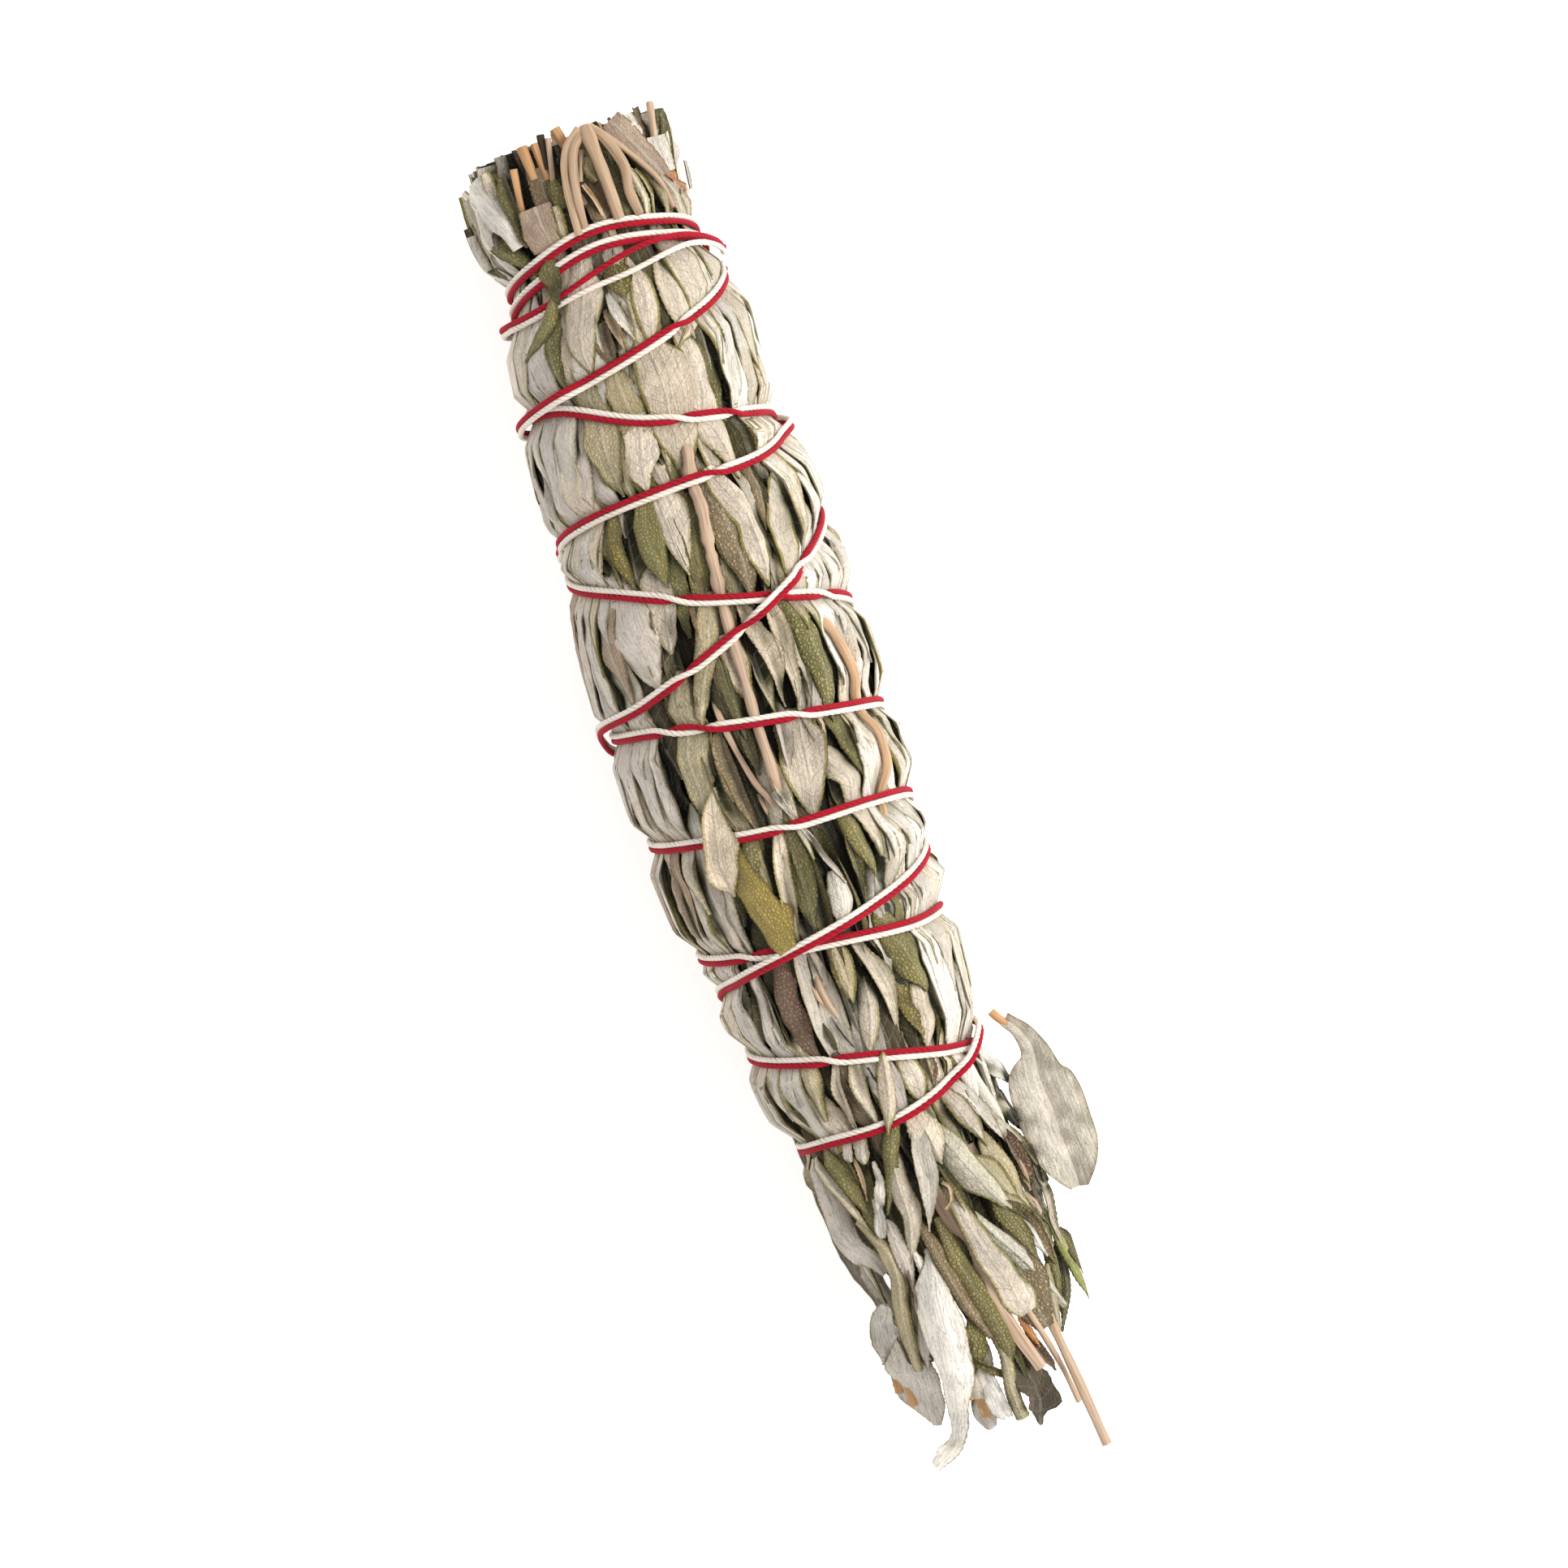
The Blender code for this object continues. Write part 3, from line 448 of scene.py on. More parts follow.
# For each way a leaf has dried, ranges in radians and millimetres: fold at the midrib, bend of the left and
# of the right half up to the margin (upwards is positive), wave of the margin, and crumpling.
STYLES = {
    "flat": ((-0.1, 0.12), (-0.5, 0.1), (-0.5, 0.1), (0.1, 0.4), (0.04, 0.14)),
    "down": ((-0.25, 0.0), (-1.2, -0.5), (-1.2, -0.5), (0.1, 0.35), (0.04, 0.14)),
    "fold": ((0.55, 1.0), (0.0, 0.7), (0.0, 0.7), (0.1, 0.3), (0.05, 0.15)),
    "roof": ((-1.0, -0.6), (-0.6, 0.1), (-0.6, 0.1), (0.1, 0.3), (0.05, 0.15)),
    "left": ((-0.1, 0.2), (0.9, 1.9), (-0.8, 0.0), (0.1, 0.3), (0.08, 0.2)),
    "right": ((-0.1, 0.2), (-0.8, 0.0), (0.9, 1.9), (0.1, 0.3), (0.08, 0.2)),
    "roll": ((0.1, 0.4), (1.7, 2.5), (1.7, 2.5), (0.05, 0.2), (0.05, 0.15)),
    "crumple": ((-0.4, 0.4), (-1.2, 1.0), (-1.2, 1.0), (0.5, 1.0), (0.35, 0.6)),
}

rng = np.random.default_rng(11)


def map_place(x, angle):
    """Where a place is on a map of the bundle's outside, in columns along it and rows round it."""
    column = np.clip((np.asarray(x) - MAP_START) / MAP_CELL, 0, MAP_COLUMNS - 1.001)
    row = (np.asarray(angle) / (2 * math.pi) % 1.0) * MAP_ROWS
    return column, row


def read_map(field, x, angle):
    """The field's value between its four nearest cells."""
    column, row = map_place(x, angle)
    i, j = column.astype(int), row.astype(int) % MAP_ROWS
    s, t = column - i, row - np.floor(row)
    k = (j + 1) % MAP_ROWS
    return (field[i, j] * (1 - t) + field[i, k] * t) * (1 - s) + (
        field[i + 1, j] * (1 - t) + field[i + 1, k] * t
    ) * s


def raise_map(x, angle, radius):
    """Records what has been laid: the highest radius in each cell that the points fall in."""
    column, row = map_place(x, angle)
    i, j = np.rint(column).astype(int), np.rint(row).astype(int) % MAP_ROWS
    np.maximum.at(support, (i, j), radius)


# Twigs that lie bare between the leaves: radius, tint, and (distance along, sideways) as seen from above.
BARE_TWIGS = (
    (
        1.0, (0.9, 0.9, 0.91),
        (54, 4.8), (60, 3.5), (65, 3.1), (71.2, 2.1), (75.4, 1.6), (83.5, 0.8), (99.7, -0.4), (113.5, -1.0),
    ),
    (
        0.8, (0.95, 0.87, 0.74),
        (87, 15.0), (92, 15.9), (97, 16.4), (104, 16.8), (112, 16.4), (118, 15.4), (123, 14.4),
    ),
)
TWIG_HEIGHT = 0.75
TWIG_STEP = 0.8
# How deep a twig's ends dive in, and within what distance.
TWIG_DIVE = (3.0, 1.6)
# Rows at a twig's two ends that dive in, so that the leaves may lie over them.
TWIG_END_ROWS = (6, 5)
# A pressing line's reach, in cells along and round, its gap, and how steeply the leaves rise beside it.
PRESS_ALONG, PRESS_ROUND = np.arange(-12, 13), np.arange(-14, 15)
PRESS_GAP = 0.05
PRESS_SLOPE = 0.72


def press_down(top, line, half):
    """Lowers the ceiling under a round line to its underside, rising evenly with the distance from it."""
    x, angle, radius = measured(line)
    column, row = map_place(x, angle)
    i = np.clip(np.rint(column).astype(int)[:, None] + PRESS_ALONG, 0, MAP_COLUMNS - 1)
    j = np.rint(row).astype(int)[:, None] + PRESS_ROUND
    along = (i - column[:, None]) * MAP_CELL
    arc = (j - row[:, None]) * (2 * math.pi / MAP_ROWS) * radius[:, None]
    apart = np.sqrt(along[:, :, None] ** 2 + arc[:, None, :] ** 2)
    pressed = radius[:, None, None] - half - PRESS_GAP + PRESS_SLOPE * np.maximum(apart - 0.9 * half, 0)
    cells = np.broadcast_arrays(i[:, :, None], j[:, None, :] % MAP_ROWS)
    np.minimum.at(top, tuple(cells), pressed)


def rows_along(line, step, least=0):
    """How many rows, a step apart along the bundle, a line is worked out in."""
    return max(least, int(abs(line[-1][0] - line[0][0]) / step))


def smooth_line(line, rows):
    """So many places at even shares of the smooth curve through a line's points."""
    table = [(i / (len(line) - 1), *place) for i, place in enumerate(line)]
    return through(table, np.linspace(0, 1, rows))


def levelled(x, radius):
    """The straight line nearest to the radii, so that what is placed from above runs evenly."""
    return np.polyval(np.polyfit(x, radius, 1), x)


def seen_angle(x, aside, radius, most=0.97):
    """The angle of what is seen from above at a distance along and sideways, on that radius."""
    return np.arcsin(np.clip((aside - centre_at(x)) / radius, -most, most))


def dived(x, radius, depth, reach):
    """A twig's radii evened, and falling towards both its ends, which dive in between the leaves."""
    return evened(radius, 2) - depth * np.exp(-np.minimum(np.abs(x - x[0]), np.abs(x - x[-1])) / reach)


def bare_twig(top, thick, line):
    """A bare twig's points: at an even height, lower under the twine, and diving in at its ends."""
    x, aside = smooth_line(line, rows_along(line, TWIG_STEP)).T
    radius = radius_at(x) + TWIG_HEIGHT
    for _ in range(3):
        angle = seen_angle(x, aside, levelled(x, radius))
        radius = np.minimum(radius_at(x) + TWIG_HEIGHT, read_map(top, x, angle) - thick)
    return around(x, angle, dived(x, radius, *TWIG_DIVE))


MAP_X = MAP_START + MAP_CELL * np.arange(MAP_COLUMNS)
support = np.repeat(core_radius(MAP_X)[:, None], MAP_ROWS, axis=1)


def twine_ceiling():
    """The radius that leaves may reach: a bulge over the outline, less where twine or the ground presses."""
    angle = 2 * math.pi * np.arange(MAP_ROWS) / MAP_ROWS
    top = np.repeat((radius_at(MAP_X) + BULGE)[:, None], MAP_ROWS, axis=1)
    ground = (CENTRE_HEIGHT - GROUND_GAP) / np.maximum(-np.cos(angle), 0.2)
    top = np.minimum(top, ground[None, :])
    for course in (red_course, white_course):
        press_down(top, course[::2], STRAND_RADIUS)
    return top


def evened(values, passes, axis=0):
    """The values with each one averaged with its two neighbours along an axis, so many times."""
    values = np.moveaxis(np.asarray(values, float), axis, 0)
    for _ in range(passes):
        padded = np.concatenate([values[:1], values, values[-1:]])
        values = (padded[:-2] + 2 * padded[1:-1] + padded[2:]) / 4
    return np.moveaxis(values, 0, axis)


ceiling = twine_ceiling()
bare_twigs = [(thick, tint, bare_twig(ceiling, thick, line)) for thick, tint, *line in BARE_TWIGS]
for thick, tint, line in bare_twigs:
    press_down(ceiling, line[TWIG_END_ROWS[0] : -TWIG_END_ROWS[1]], thick)


def bridged(values, along, reach):
    """A stiff strip's height over bumps: the highest within reach of each place, averaged over that reach."""
    apart = np.abs(along[:, None] - along)
    highest = np.where(apart < reach, values, -np.inf).max(axis=1)
    weight = np.exp(-((apart / reach) ** 2))
    return (weight @ highest) / weight.sum(axis=1)


def leaf_outline(share):
    """A sage leaf's half width as a share: narrow at its stalk, widest before the middle, then to a point."""
    share = np.clip(share, 0, 1)
    return np.maximum(np.sin(np.pi * share**0.8), 0) ** (0.7 + 0.35 * share**2)


def drawn_look(style, colour, changes):
    """One leaf's own way of being dried, drawn from its style's ranges, apart from what is given for it."""
    fold, left, right, wave, crumple = (rng.uniform(*pair) for pair in STYLES[style])
    look = {"fold": fold, "left": left, "right": right, "wave": wave, "crumple": crumple}
    look |= {"pleats": rng.uniform(0.0, MOST_PLEATING), "teeth": TOOTH_DEPTH, "ragged": 1.0, "profile": None}
    look |= {"rib": RAISED_RIB if colour in UNDERSIDES else SUNK_RIB, "start": 0.0, "end": 1.0}
    return look | {"tuck": TUCK, "lift": 0.0, "twist": 0.0, "shade": 1.0, "open": False} | changes


# How much a leaf's half width, its two sides, their bend and its fold wander, and over how many rows.
WIDTH_WANDER, WIDTH_ROWS = 0.25, 30
SIDE_LEAN, SIDE_WANDER, SIDE_ROWS, MOST_SIDE = 0.12, 0.5, 40, 0.4
BEND_WANDER, FOLD_WANDER, BEND_ROWS = (0.7, 0.6), (0.75, 0.5), 12
LEAST_HALF_WIDTH = 0.25
# Lengths in millimetres: of the margin's waves, the dents, the pleats and the pleats' drift along the leaf.
WAVE_LENGTHS, DENT_LENGTHS, PLEAT_LENGTHS, DRIFT_LENGTHS = (7, 14), (3.5, 9), (1.5, 2.6), (4, 8)
DENTS = 4
RIB_REACH = 0.35


def wandering(middle, spread, values, rows):
    """Values evened over so many rows, spread about a middle, as a column."""
    return (middle + spread * evened(values, rows))[:, None]


def blade(along, width, look, columns):
    """Across, height and distance from the margin of a leaf's blade, on a grid, in millimetres.

    Each half leaves the midrib at the fold angle and bends on evenly to the margin, an arc of a circle:
    across = (sin(fold + bend t) - sin(fold)) / bend, height = (cos(fold) - cos(fold + bend t)) / bend.
    Waves grow towards the margin, crumpling is the sum of a few slanted waves, and the rib stands up or is
    sunk. The margin has small round teeth: its distance from the midrib falls by 1 - |sin| between them.
    """
    rows = len(along)
    share = look["start"] + (look["end"] - look["start"]) * np.linspace(0, 1, rows)
    form = through(look["profile"], share)[:, 0] if look["profile"] else leaf_outline(share)
    half = width / 2 * form * (1 + WIDTH_WANDER * look["ragged"] * evened(rng.normal(size=rows), WIDTH_ROWS))
    v = np.linspace(-1, 1, columns)
    v = np.sign(v) * np.abs(v) ** 1.15
    uneven = rng.normal(0, SIDE_LEAN) + SIDE_WANDER * evened(rng.normal(size=rows), SIDE_ROWS)
    sides = 1 + np.sign(v) * np.clip(look["ragged"] * uneven, -MOST_SIDE, MOST_SIDE)[:, None]
    half = np.maximum(half, LEAST_HALF_WIDTH)[:, None] * sides
    notch_phases = rng.uniform(0, math.pi, 2)
    notch = 1 - np.abs(np.sin(math.pi * along[:, None] / TOOTH_PITCH + np.where(v < 0, *notch_phases)))
    t = np.abs(v) * half - np.minimum(look["teeth"], 0.3 * half) * np.abs(v) ** 8 * notch
    bend = np.where(v < 0, look["left"], look["right"]) * wandering(*BEND_WANDER, rng.random(rows), BEND_ROWS)
    bend = bend / np.maximum(width / 2, 0.5)
    bend = np.where(np.abs(bend) < 1e-3, 1e-3, bend)
    fold = look["fold"] * wandering(*FOLD_WANDER, rng.random(rows), BEND_ROWS)
    across = (np.sin(fold + bend * t) - np.sin(fold)) / bend * np.sign(v)
    height = (np.cos(fold) - np.cos(fold + bend * t)) / bend
    phases = rng.uniform(0, 2 * math.pi, 2)
    length = rng.uniform(*WAVE_LENGTHS)
    wave = np.sin(2 * math.pi * along[:, None] / length + np.where(v < 0, *phases))
    height = height + look["wave"] * np.abs(v) ** 1.5 * wave * np.minimum(half / 2.5, 1)
    for _ in range(DENTS):
        slope, pitch, phase = rng.uniform(-1.2, 1.2), rng.uniform(*DENT_LENGTHS), rng.uniform(0, 2 * math.pi)
        dent = np.sin(2 * math.pi * (along[:, None] + slope * across) / pitch + phase)
        height = height + 0.5 * look["crumple"] * dent
    pleat = rng.uniform(*PLEAT_LENGTHS)
    drift = 0.8 * np.sin(along[:, None] / rng.uniform(*DRIFT_LENGTHS) + rng.uniform(0, 6))
    height = height + look["pleats"] * np.sin(2 * math.pi * (across + drift) / pleat)
    height = height + look["rib"] * np.exp(-((t / RIB_REACH) ** 2))
    return across, height, half * (1 - np.abs(v))


def shell_faces(rows, columns):
    """Faces of a closed thin shell whose upper grid of points is followed by its lower one."""
    upper = grid_faces(rows, columns)
    index = np.arange(rows * columns).reshape(rows, columns)
    border = np.concatenate([index[:, 0], index[-1, 1:], index[-2::-1, -1], index[0, -2::-1]])
    p, q = border[:-1], border[1:]
    below = rows * columns
    rim = np.stack([q, p, p + below, q + below], axis=-1)
    return [upper, upper[:, ::-1] + below, rim]


# Ranges of one leaf's tone and kind against its colour's, and how much its tone drifts along it.
TONES, KIND_RANGE, TONE_DRIFT, WARMTH = (0.9, 1.12), (0.75, 1.1), 0.25, 0.02
MARGIN_BROWNING = np.array((0.7, 0.9, 1.4))
UNDERSIDE_TONE = 1.05


def leaf_part(top, bottom, along, across, inset, colour, look):
    """A leaf's mesh between its two grids, with its colour, own coordinates in millimetres, kind and rim.

    The colour drifts along the leaf and grows a little browner at the margin.
    """
    rows, columns = top.shape[:2]
    # A shade under 1 is painted shade, for leaves that lie deep inside the bundle or under others.
    tint = linear(TINTS[colour]) * look["shade"] * rng.uniform(*TONES)
    tint = tint * (1 + rng.normal(0, WARMTH) * np.array([1.0, 0.2, -1.0]))
    drift = 1 + TONE_DRIFT * evened(rng.normal(size=rows), 30)[:, None, None]
    margin = np.linspace(-1, 1, columns)[None, :, None] ** 4
    tone = tint * drift * (1 - 0.1 * margin * MARGIN_BROWNING)
    own = np.stack([along[:, None] + 0 * across, across, 0 * across + rng.uniform(0, 99)], axis=-1)
    *kind, green = np.array(KINDS[colour]) * rng.uniform(*KIND_RANGE)
    rim = np.stack([inset, 0 * inset + 1.2 * green * rng.random() ** 0.6, 0 * inset], axis=-1)
    tone, own, rim = (values.reshape(-1, 3) for values in (tone, own, rim))
    return {
        "points": np.concatenate([top.reshape(-1, 3), bottom.reshape(-1, 3)]),
        "faces": shell_faces(rows, columns),
        "tint": np.concatenate([tone, tone * UNDERSIDE_TONE]),
        "blade": np.concatenate([own, own]),
        "kind": np.clip(kind, 0, 1),
        "rim": np.concatenate([rim, rim]),
        "open": look["open"],
    }


def record_leaf(x, angle, radius):
    """Raises the map under a leaf's grid of points and under the middles between them."""
    for grid in ((x, angle, radius), tuple((g[:-1] + g[1:]) / 2 for g in (x, angle, radius))):
        raise_map(*grid)
        raise_map(*((g[:, :-1] + g[:, 1:]) / 2 for g in grid))


def keep_leaf(part, angle):
    """Gives a leaf to the sprig whose wedge it lies in."""
    sprig_parts[int(np.rint(angle / WEDGE)) % SPRIGS].append(part)


def lay_leaf(line, width, style, colour, order=1.0, step=0.5, columns=7, seen=False, over=False, **changes):
    """Lays a leaf on the bundle along a line of (distance along, angle), and records it.

    Its height is what keeps it over the leaves below, stiff and bridging their gaps, and partly follows them.
    Where that is over the ceiling it is pressed to it, later leaves less than earlier ones.
    A leaf whose place is known as seen from above has a line of (distance along, sideways) instead.
    """
    look = drawn_look(style, colour, changes)
    x, aside = smooth_line(line, rows_along(line, step, 10)).T
    steps = np.linspace(0, 1, len(x))
    surface = radius_at(x)
    angle = seen_angle(x, aside, surface, 0.99) if seen else aside
    run, arc = np.gradient(x), np.gradient(angle) * surface
    along = np.concatenate([[0], np.cumsum(np.hypot(run, arc)[1:])])
    across, height, inset = blade(along, width, look, columns)
    for _ in range(2 if seen else 1):
        run, arc = np.gradient(x), np.gradient(angle) * surface
        reach = np.hypot(run, arc)
        px = x[:, None] - across * (arc / reach)[:, None]
        pa = angle[:, None] + across * (run / reach / surface)[:, None]
        under = read_map(support, px, pa)
        rest = bridged((under - height).max(axis=1), along, BRIDGE_REACH)
        drape = evened(evened(under, 8), 2, axis=1) + height
        radius = STIFFNESS * (rest[:, None] + height) + (1 - STIFFNESS) * drape + LEAF_THICKNESS + LEAF_GAP
        radius = radius - look["tuck"] * np.exp(-along / TUCK_REACH)[:, None]
        radius = radius + look["lift"] * (steps**3)[:, None]
        if not over:
            limit = read_map(ceiling, px, pa) - LAYER_PRESS * (1 - order)
            radius = np.minimum(radius, limit) + PAST_CEILING * np.tanh(np.maximum(radius - limit, 0))
        if seen:
            surface = levelled(x, radius[:, columns // 2])
            angle = seen_angle(x, aside, surface, 0.99)
    record_leaf(px, pa, radius)
    top, bottom = around(px, pa, radius), around(px, pa, radius - LEAF_THICKNESS)
    keep_leaf(leaf_part(top, bottom, along, across, inset, colour, look), np.median(angle))


STRAIGHT_UP = np.array([0.0, 0.0, 1.0])


def free_leaf(
    line, width, style, colour, turn=0.0, step=0.7, columns=7,
    seen=False, upward=0.0, pressed=False, **changes
):
    """A leaf that stands free, along a line of (distance along, angle, radius) or, as seen, (x, y, height).

    point = line + across s + height o, where s and o are the line's sideways and outward directions turned
    about it. Outward is away from the bundle's middle, or partly straight up.
    """
    look = drawn_look(style, colour, changes)
    spots = smooth_line(line, rows_along(line, step, 12))
    rows = len(spots)
    if not seen:
        spots = around(*spots.T)
    forward = np.gradient(spots, axis=0)
    along = np.concatenate([[0], np.cumsum(np.linalg.norm(forward, axis=1)[1:])])
    forward = unit(forward)
    out = unit(spots - np.column_stack([spots[:, 0], centre_at(spots[:, 0]), np.full(rows, CENTRE_HEIGHT)]))
    out = square_to(forward, (1 - upward) * out + upward * STRAIGHT_UP)
    side = np.cross(out, forward)
    lean = turn + look["twist"] * np.linspace(-0.5, 0.5, rows)[:, None]
    out, side = out * np.cos(lean) - side * np.sin(lean), side * np.cos(lean) + out * np.sin(lean)
    across, height, inset = blade(along, width, look, columns)
    top = spots[:, None] + across[..., None] * side[:, None] + height[..., None] * out[:, None]
    bottom = top - LEAF_THICKNESS * out[:, None]
    if pressed:
        x, angle, radius = measured(top)
        press = np.minimum(1, read_map(ceiling, x, angle) / radius)
        for grid in (top, bottom):
            middle = centre_at(grid[..., 0])
            grid[..., 1] = middle + (grid[..., 1] - middle) * press
            grid[..., 2] = CENTRE_HEIGHT + (grid[..., 2] - CENTRE_HEIGHT) * press
    for grid in (top, bottom):
        grid[..., 2] = np.maximum(grid[..., 2], GROUND_GAP)
    x, angle, radius = measured(top)
    record_leaf(x, angle, radius)
    keep_leaf(leaf_part(top, bottom, along, across, inset, colour, look), angle[rows // 3, columns // 2])


def picked(weights):
    """A name drawn by its weight."""
    names = list(weights)
    shares = np.array([weights[name] for name in names], float)
    return names[rng.choice(len(names), p=shares / shares.sum())]


COMMON_COLOURS = {
    "greige": 7, "silver": 3, "lilac": 2, "sage": 4, "olive": 4, "moss": 1.6, "yellow": 0.8, "umber": 1,
}
SHADY_COLOURS = {"greige": 2, "sage": 3, "olive": 4, "moss": 3, "umber": 2.5}
PALE_COLOURS = {"silver": 6, "lilac": 6, "greige": 2.5, "sage": 0.5}
COMMON_STYLES = {
    "flat": 4, "down": 3, "fold": 3, "roof": 2, "left": 2, "right": 2, "roll": 1.5, "crumple": 0.7,
}
# On the -Y side, between these angles from the top, the leaves turn their pale undersides out.
PALE_SIDE = (-2.3, -0.85)
LAYER_START, LAYER_LENGTH = (6, 158), (22, 40)


def turned_from_top(angle):
    """An angle round the bundle as one from -pi to pi, counted from the top."""
    return (angle + math.pi) % (2 * math.pi) - math.pi


def colours_there(colours, facing):
    """The common colours are paler on the pale side, and the others stay as they are."""
    return PALE_COLOURS if colours is COMMON_COLOURS and PALE_SIDE[0] < facing < PALE_SIDE[1] else colours


def layer_of_leaves(count, order, colours, shade, width, skip=None, **changes):
    """A layer of leaves all round. Those that start far along are laid first, so that each tip covers a base.

    Within an angle from the top a share of them is skipped, because others are laid there.
    """
    starts = np.sort(rng.uniform(*LAYER_START, count))[::-1]
    for number, x in enumerate(starts):
        angle = 2 * math.pi * ((number * GOLDEN) % 1.0) + rng.uniform(-0.15, 0.15)
        reach = rng.uniform(*LAYER_LENGTH)
        swing = rng.normal(0, 2.2) / radius_at(x)
        bow = rng.normal(0, 0.8) / radius_at(x)
        middle = angle + swing / 2 + bow
        facing = turned_from_top(angle)
        if skip and abs(facing) < skip[0] and rng.random() < skip[1]:
            continue
        lay_leaf(
            ((x, angle), (x + reach / 2, middle), (x + reach, angle + swing)),
            rng.uniform(*width),
            picked(COMMON_STYLES),
            picked(colours_there(colours, facing)),
            order + 0.15 * rng.random(),
            shade=shade * rng.uniform(0.9, 1.08),
            lift=rng.uniform(0, 0.8),
            end=rng.uniform(0.92, 1.0),
            **changes,
        )


# The two deep layers are darkened by shades of 0.3 and 0.82, with the darker shady colours below: painted
# shade.
layer_of_leaves(150, 0.0, SHADY_COLOURS, 0.3, width=(6, 10), step=1.5, columns=5, teeth=0.0)
layer_of_leaves(150, 0.3, COMMON_COLOURS, 0.82, width=(4.5, 8.5), skip=(1.0, 0.3), step=1.1, teeth=0.0)


# Leaves at the leafy end
# Past the last turn of twine the leaves are free. They keep the bundle's shape but open up a little, one
# inside the other, and end in points at different lengths.

TIP_RINGS = ((0.16, 4), (0.36, 8), (0.56, 12), (0.74, 16), (0.88, 20))
# Distance from the cut end and the radius that the free leaves keep to.
TIP_ROUNDING = (
    (150, 18.6), (165, 17.5), (180, 17.5), (190, 17), (200, 16), (206, 15.5), (213, 13), (222, 10), (232, 6),
)
TIP_STARTS, TIP_ENDS, TIP_WIDTHS = (150, 176), (188, 212), (5, 9)
# Within this angle from the top, leaves keep lower, so that the ones that show lie over them.
UP_SIDE = 1.15


def tip_radius(x):
    """The rounded leafy end's radius at one distance from the cut end, or at each of a row of them."""
    return through(TIP_ROUNDING, x)[:, 0] if np.ndim(x) else through(TIP_ROUNDING, x)[0, 0]


def ring_of_tips(share, count):
    """Leaves that spring from under the last turns of the twine, at a share of the bundle's radius."""
    for number in range(count):
        angle = 2 * math.pi * (number + rng.uniform(-0.3, 0.3)) / count + 7 * share
        start = rng.uniform(*TIP_STARTS)
        end = rng.uniform(*TIP_ENDS) - 5 * share
        swing = rng.normal(0, 0.12)
        middle = (start + end) / 2
        open_up = rng.uniform(0.88, 1.0)
        facing = turned_from_top(angle)
        upper = share > 0.7 and abs(facing) < UP_SIDE
        colours = COMMON_COLOURS if share > 0.5 and not upper else SHADY_COLOURS
        free_leaf(
            (
                (start, angle, radius_at(start) * share * 0.86),
                (middle, angle + swing / 2, tip_radius(middle) * share * (0.85 if upper else 0.98)),
                (end, angle + swing, tip_radius(end) * share * (0.8 if upper else open_up)),
            ),
            rng.uniform(*TIP_WIDTHS),
            picked(COMMON_STYLES),
            picked(colours_there(colours, facing)),
            turn=rng.normal(0, 0.3),
            step=1.3,
            # Inner leaves, and those under the upper side, are darkened: painted shade.
            shade=0.5 if upper else 0.75 + 0.25 * share,
            twist=rng.normal(0, 0.4),
        )


for share, count in TIP_RINGS:
    ring_of_tips(share, count)


# Leaves at the cut end
# The stalks and the leaves round them are chopped off square, so the end shows layers of leaves edge on,
# curled round each other, and each leaf starts at its full width.

CUT_RINGS = ((0.3, 7), (0.5, 12), (0.68, 17), (0.84, 22))
CUT_STARTS, CUT_WIDTHS = (1.0, 5.5), (4.5, 8)
CUT_STYLES = {"flat": 3, "down": 2, "roll": 3, "left": 2, "right": 2, "crumple": 2}
CUT_COLOURS = {"greige": 4, "olive": 4, "moss": 2, "umber": 2, "silver": 1.5, "straw": 1}
OUTER_CUT_LEAVES, OUTER_CUT_STARTS, OUTER_CUT_WIDTHS = 30, (0.8, 6.0), (4.5, 7.5)
OUTER_CUT_STYLES = {"flat": 3, "down": 2, "roll": 1, "left": 1.5, "right": 1.5, "crumple": 1}
OUTER_CUT_COLOURS = {"greige": 5, "olive": 3, "umber": 1.5, "silver": 2.5, "lilac": 1, "straw": 1}
BARE_TOP = 0.95


def ring_of_cut_leaves(share, count):
    """Leaves chopped off at the cut end, at a share of the bundle's radius, running on into it."""
    for number in range(count):
        angle = 2 * math.pi * (number + rng.uniform(-0.3, 0.3)) / count + 5 * share
        start = rng.uniform(*CUT_STARTS)
        upper = share > 0.6 and abs(turned_from_top(angle)) < UP_SIDE
        inward = 0.9 if upper else 1.0
        free_leaf(
            (
                (start, angle, radius_at(start) * share * inward * rng.uniform(0.94, 1.06)),
                (start + 10, angle + rng.normal(0, 0.04), radius_at(12) * share * inward),
                (start + 24, angle, radius_at(26) * share * 0.95),
            ),
            rng.uniform(*CUT_WIDTHS),
            picked(CUT_STYLES),
            picked(CUT_COLOURS),
            turn=rng.normal(0, 0.5),
            step=1.6,
            start=rng.uniform(0.25, 0.45),
            # Leaves inside the cut end are darkened, most under the upper side: painted shade.
            shade=0.5 if upper else 0.85,
        )


for share, count in CUT_RINGS:
    ring_of_cut_leaves(share, count)
# The outermost ones, all round but for the top, where the ones that show are laid one by one.
for number in range(OUTER_CUT_LEAVES):
    start = rng.uniform(*OUTER_CUT_STARTS)
    angle = 2 * math.pi * (number + rng.uniform(-0.3, 0.3)) / OUTER_CUT_LEAVES
    if abs(turned_from_top(angle)) < BARE_TOP:
        continue
    lay_leaf(
        ((start, angle), (start + 12, angle + rng.normal(0, 0.05)), (start + 27, angle)),
        rng.uniform(*OUTER_CUT_WIDTHS),
        picked(OUTER_CUT_STYLES),
        picked(OUTER_CUT_COLOURS),
        0.5,
        step=1.2,
        start=rng.uniform(0.3, 0.45),
        tuck=0.0,
    )

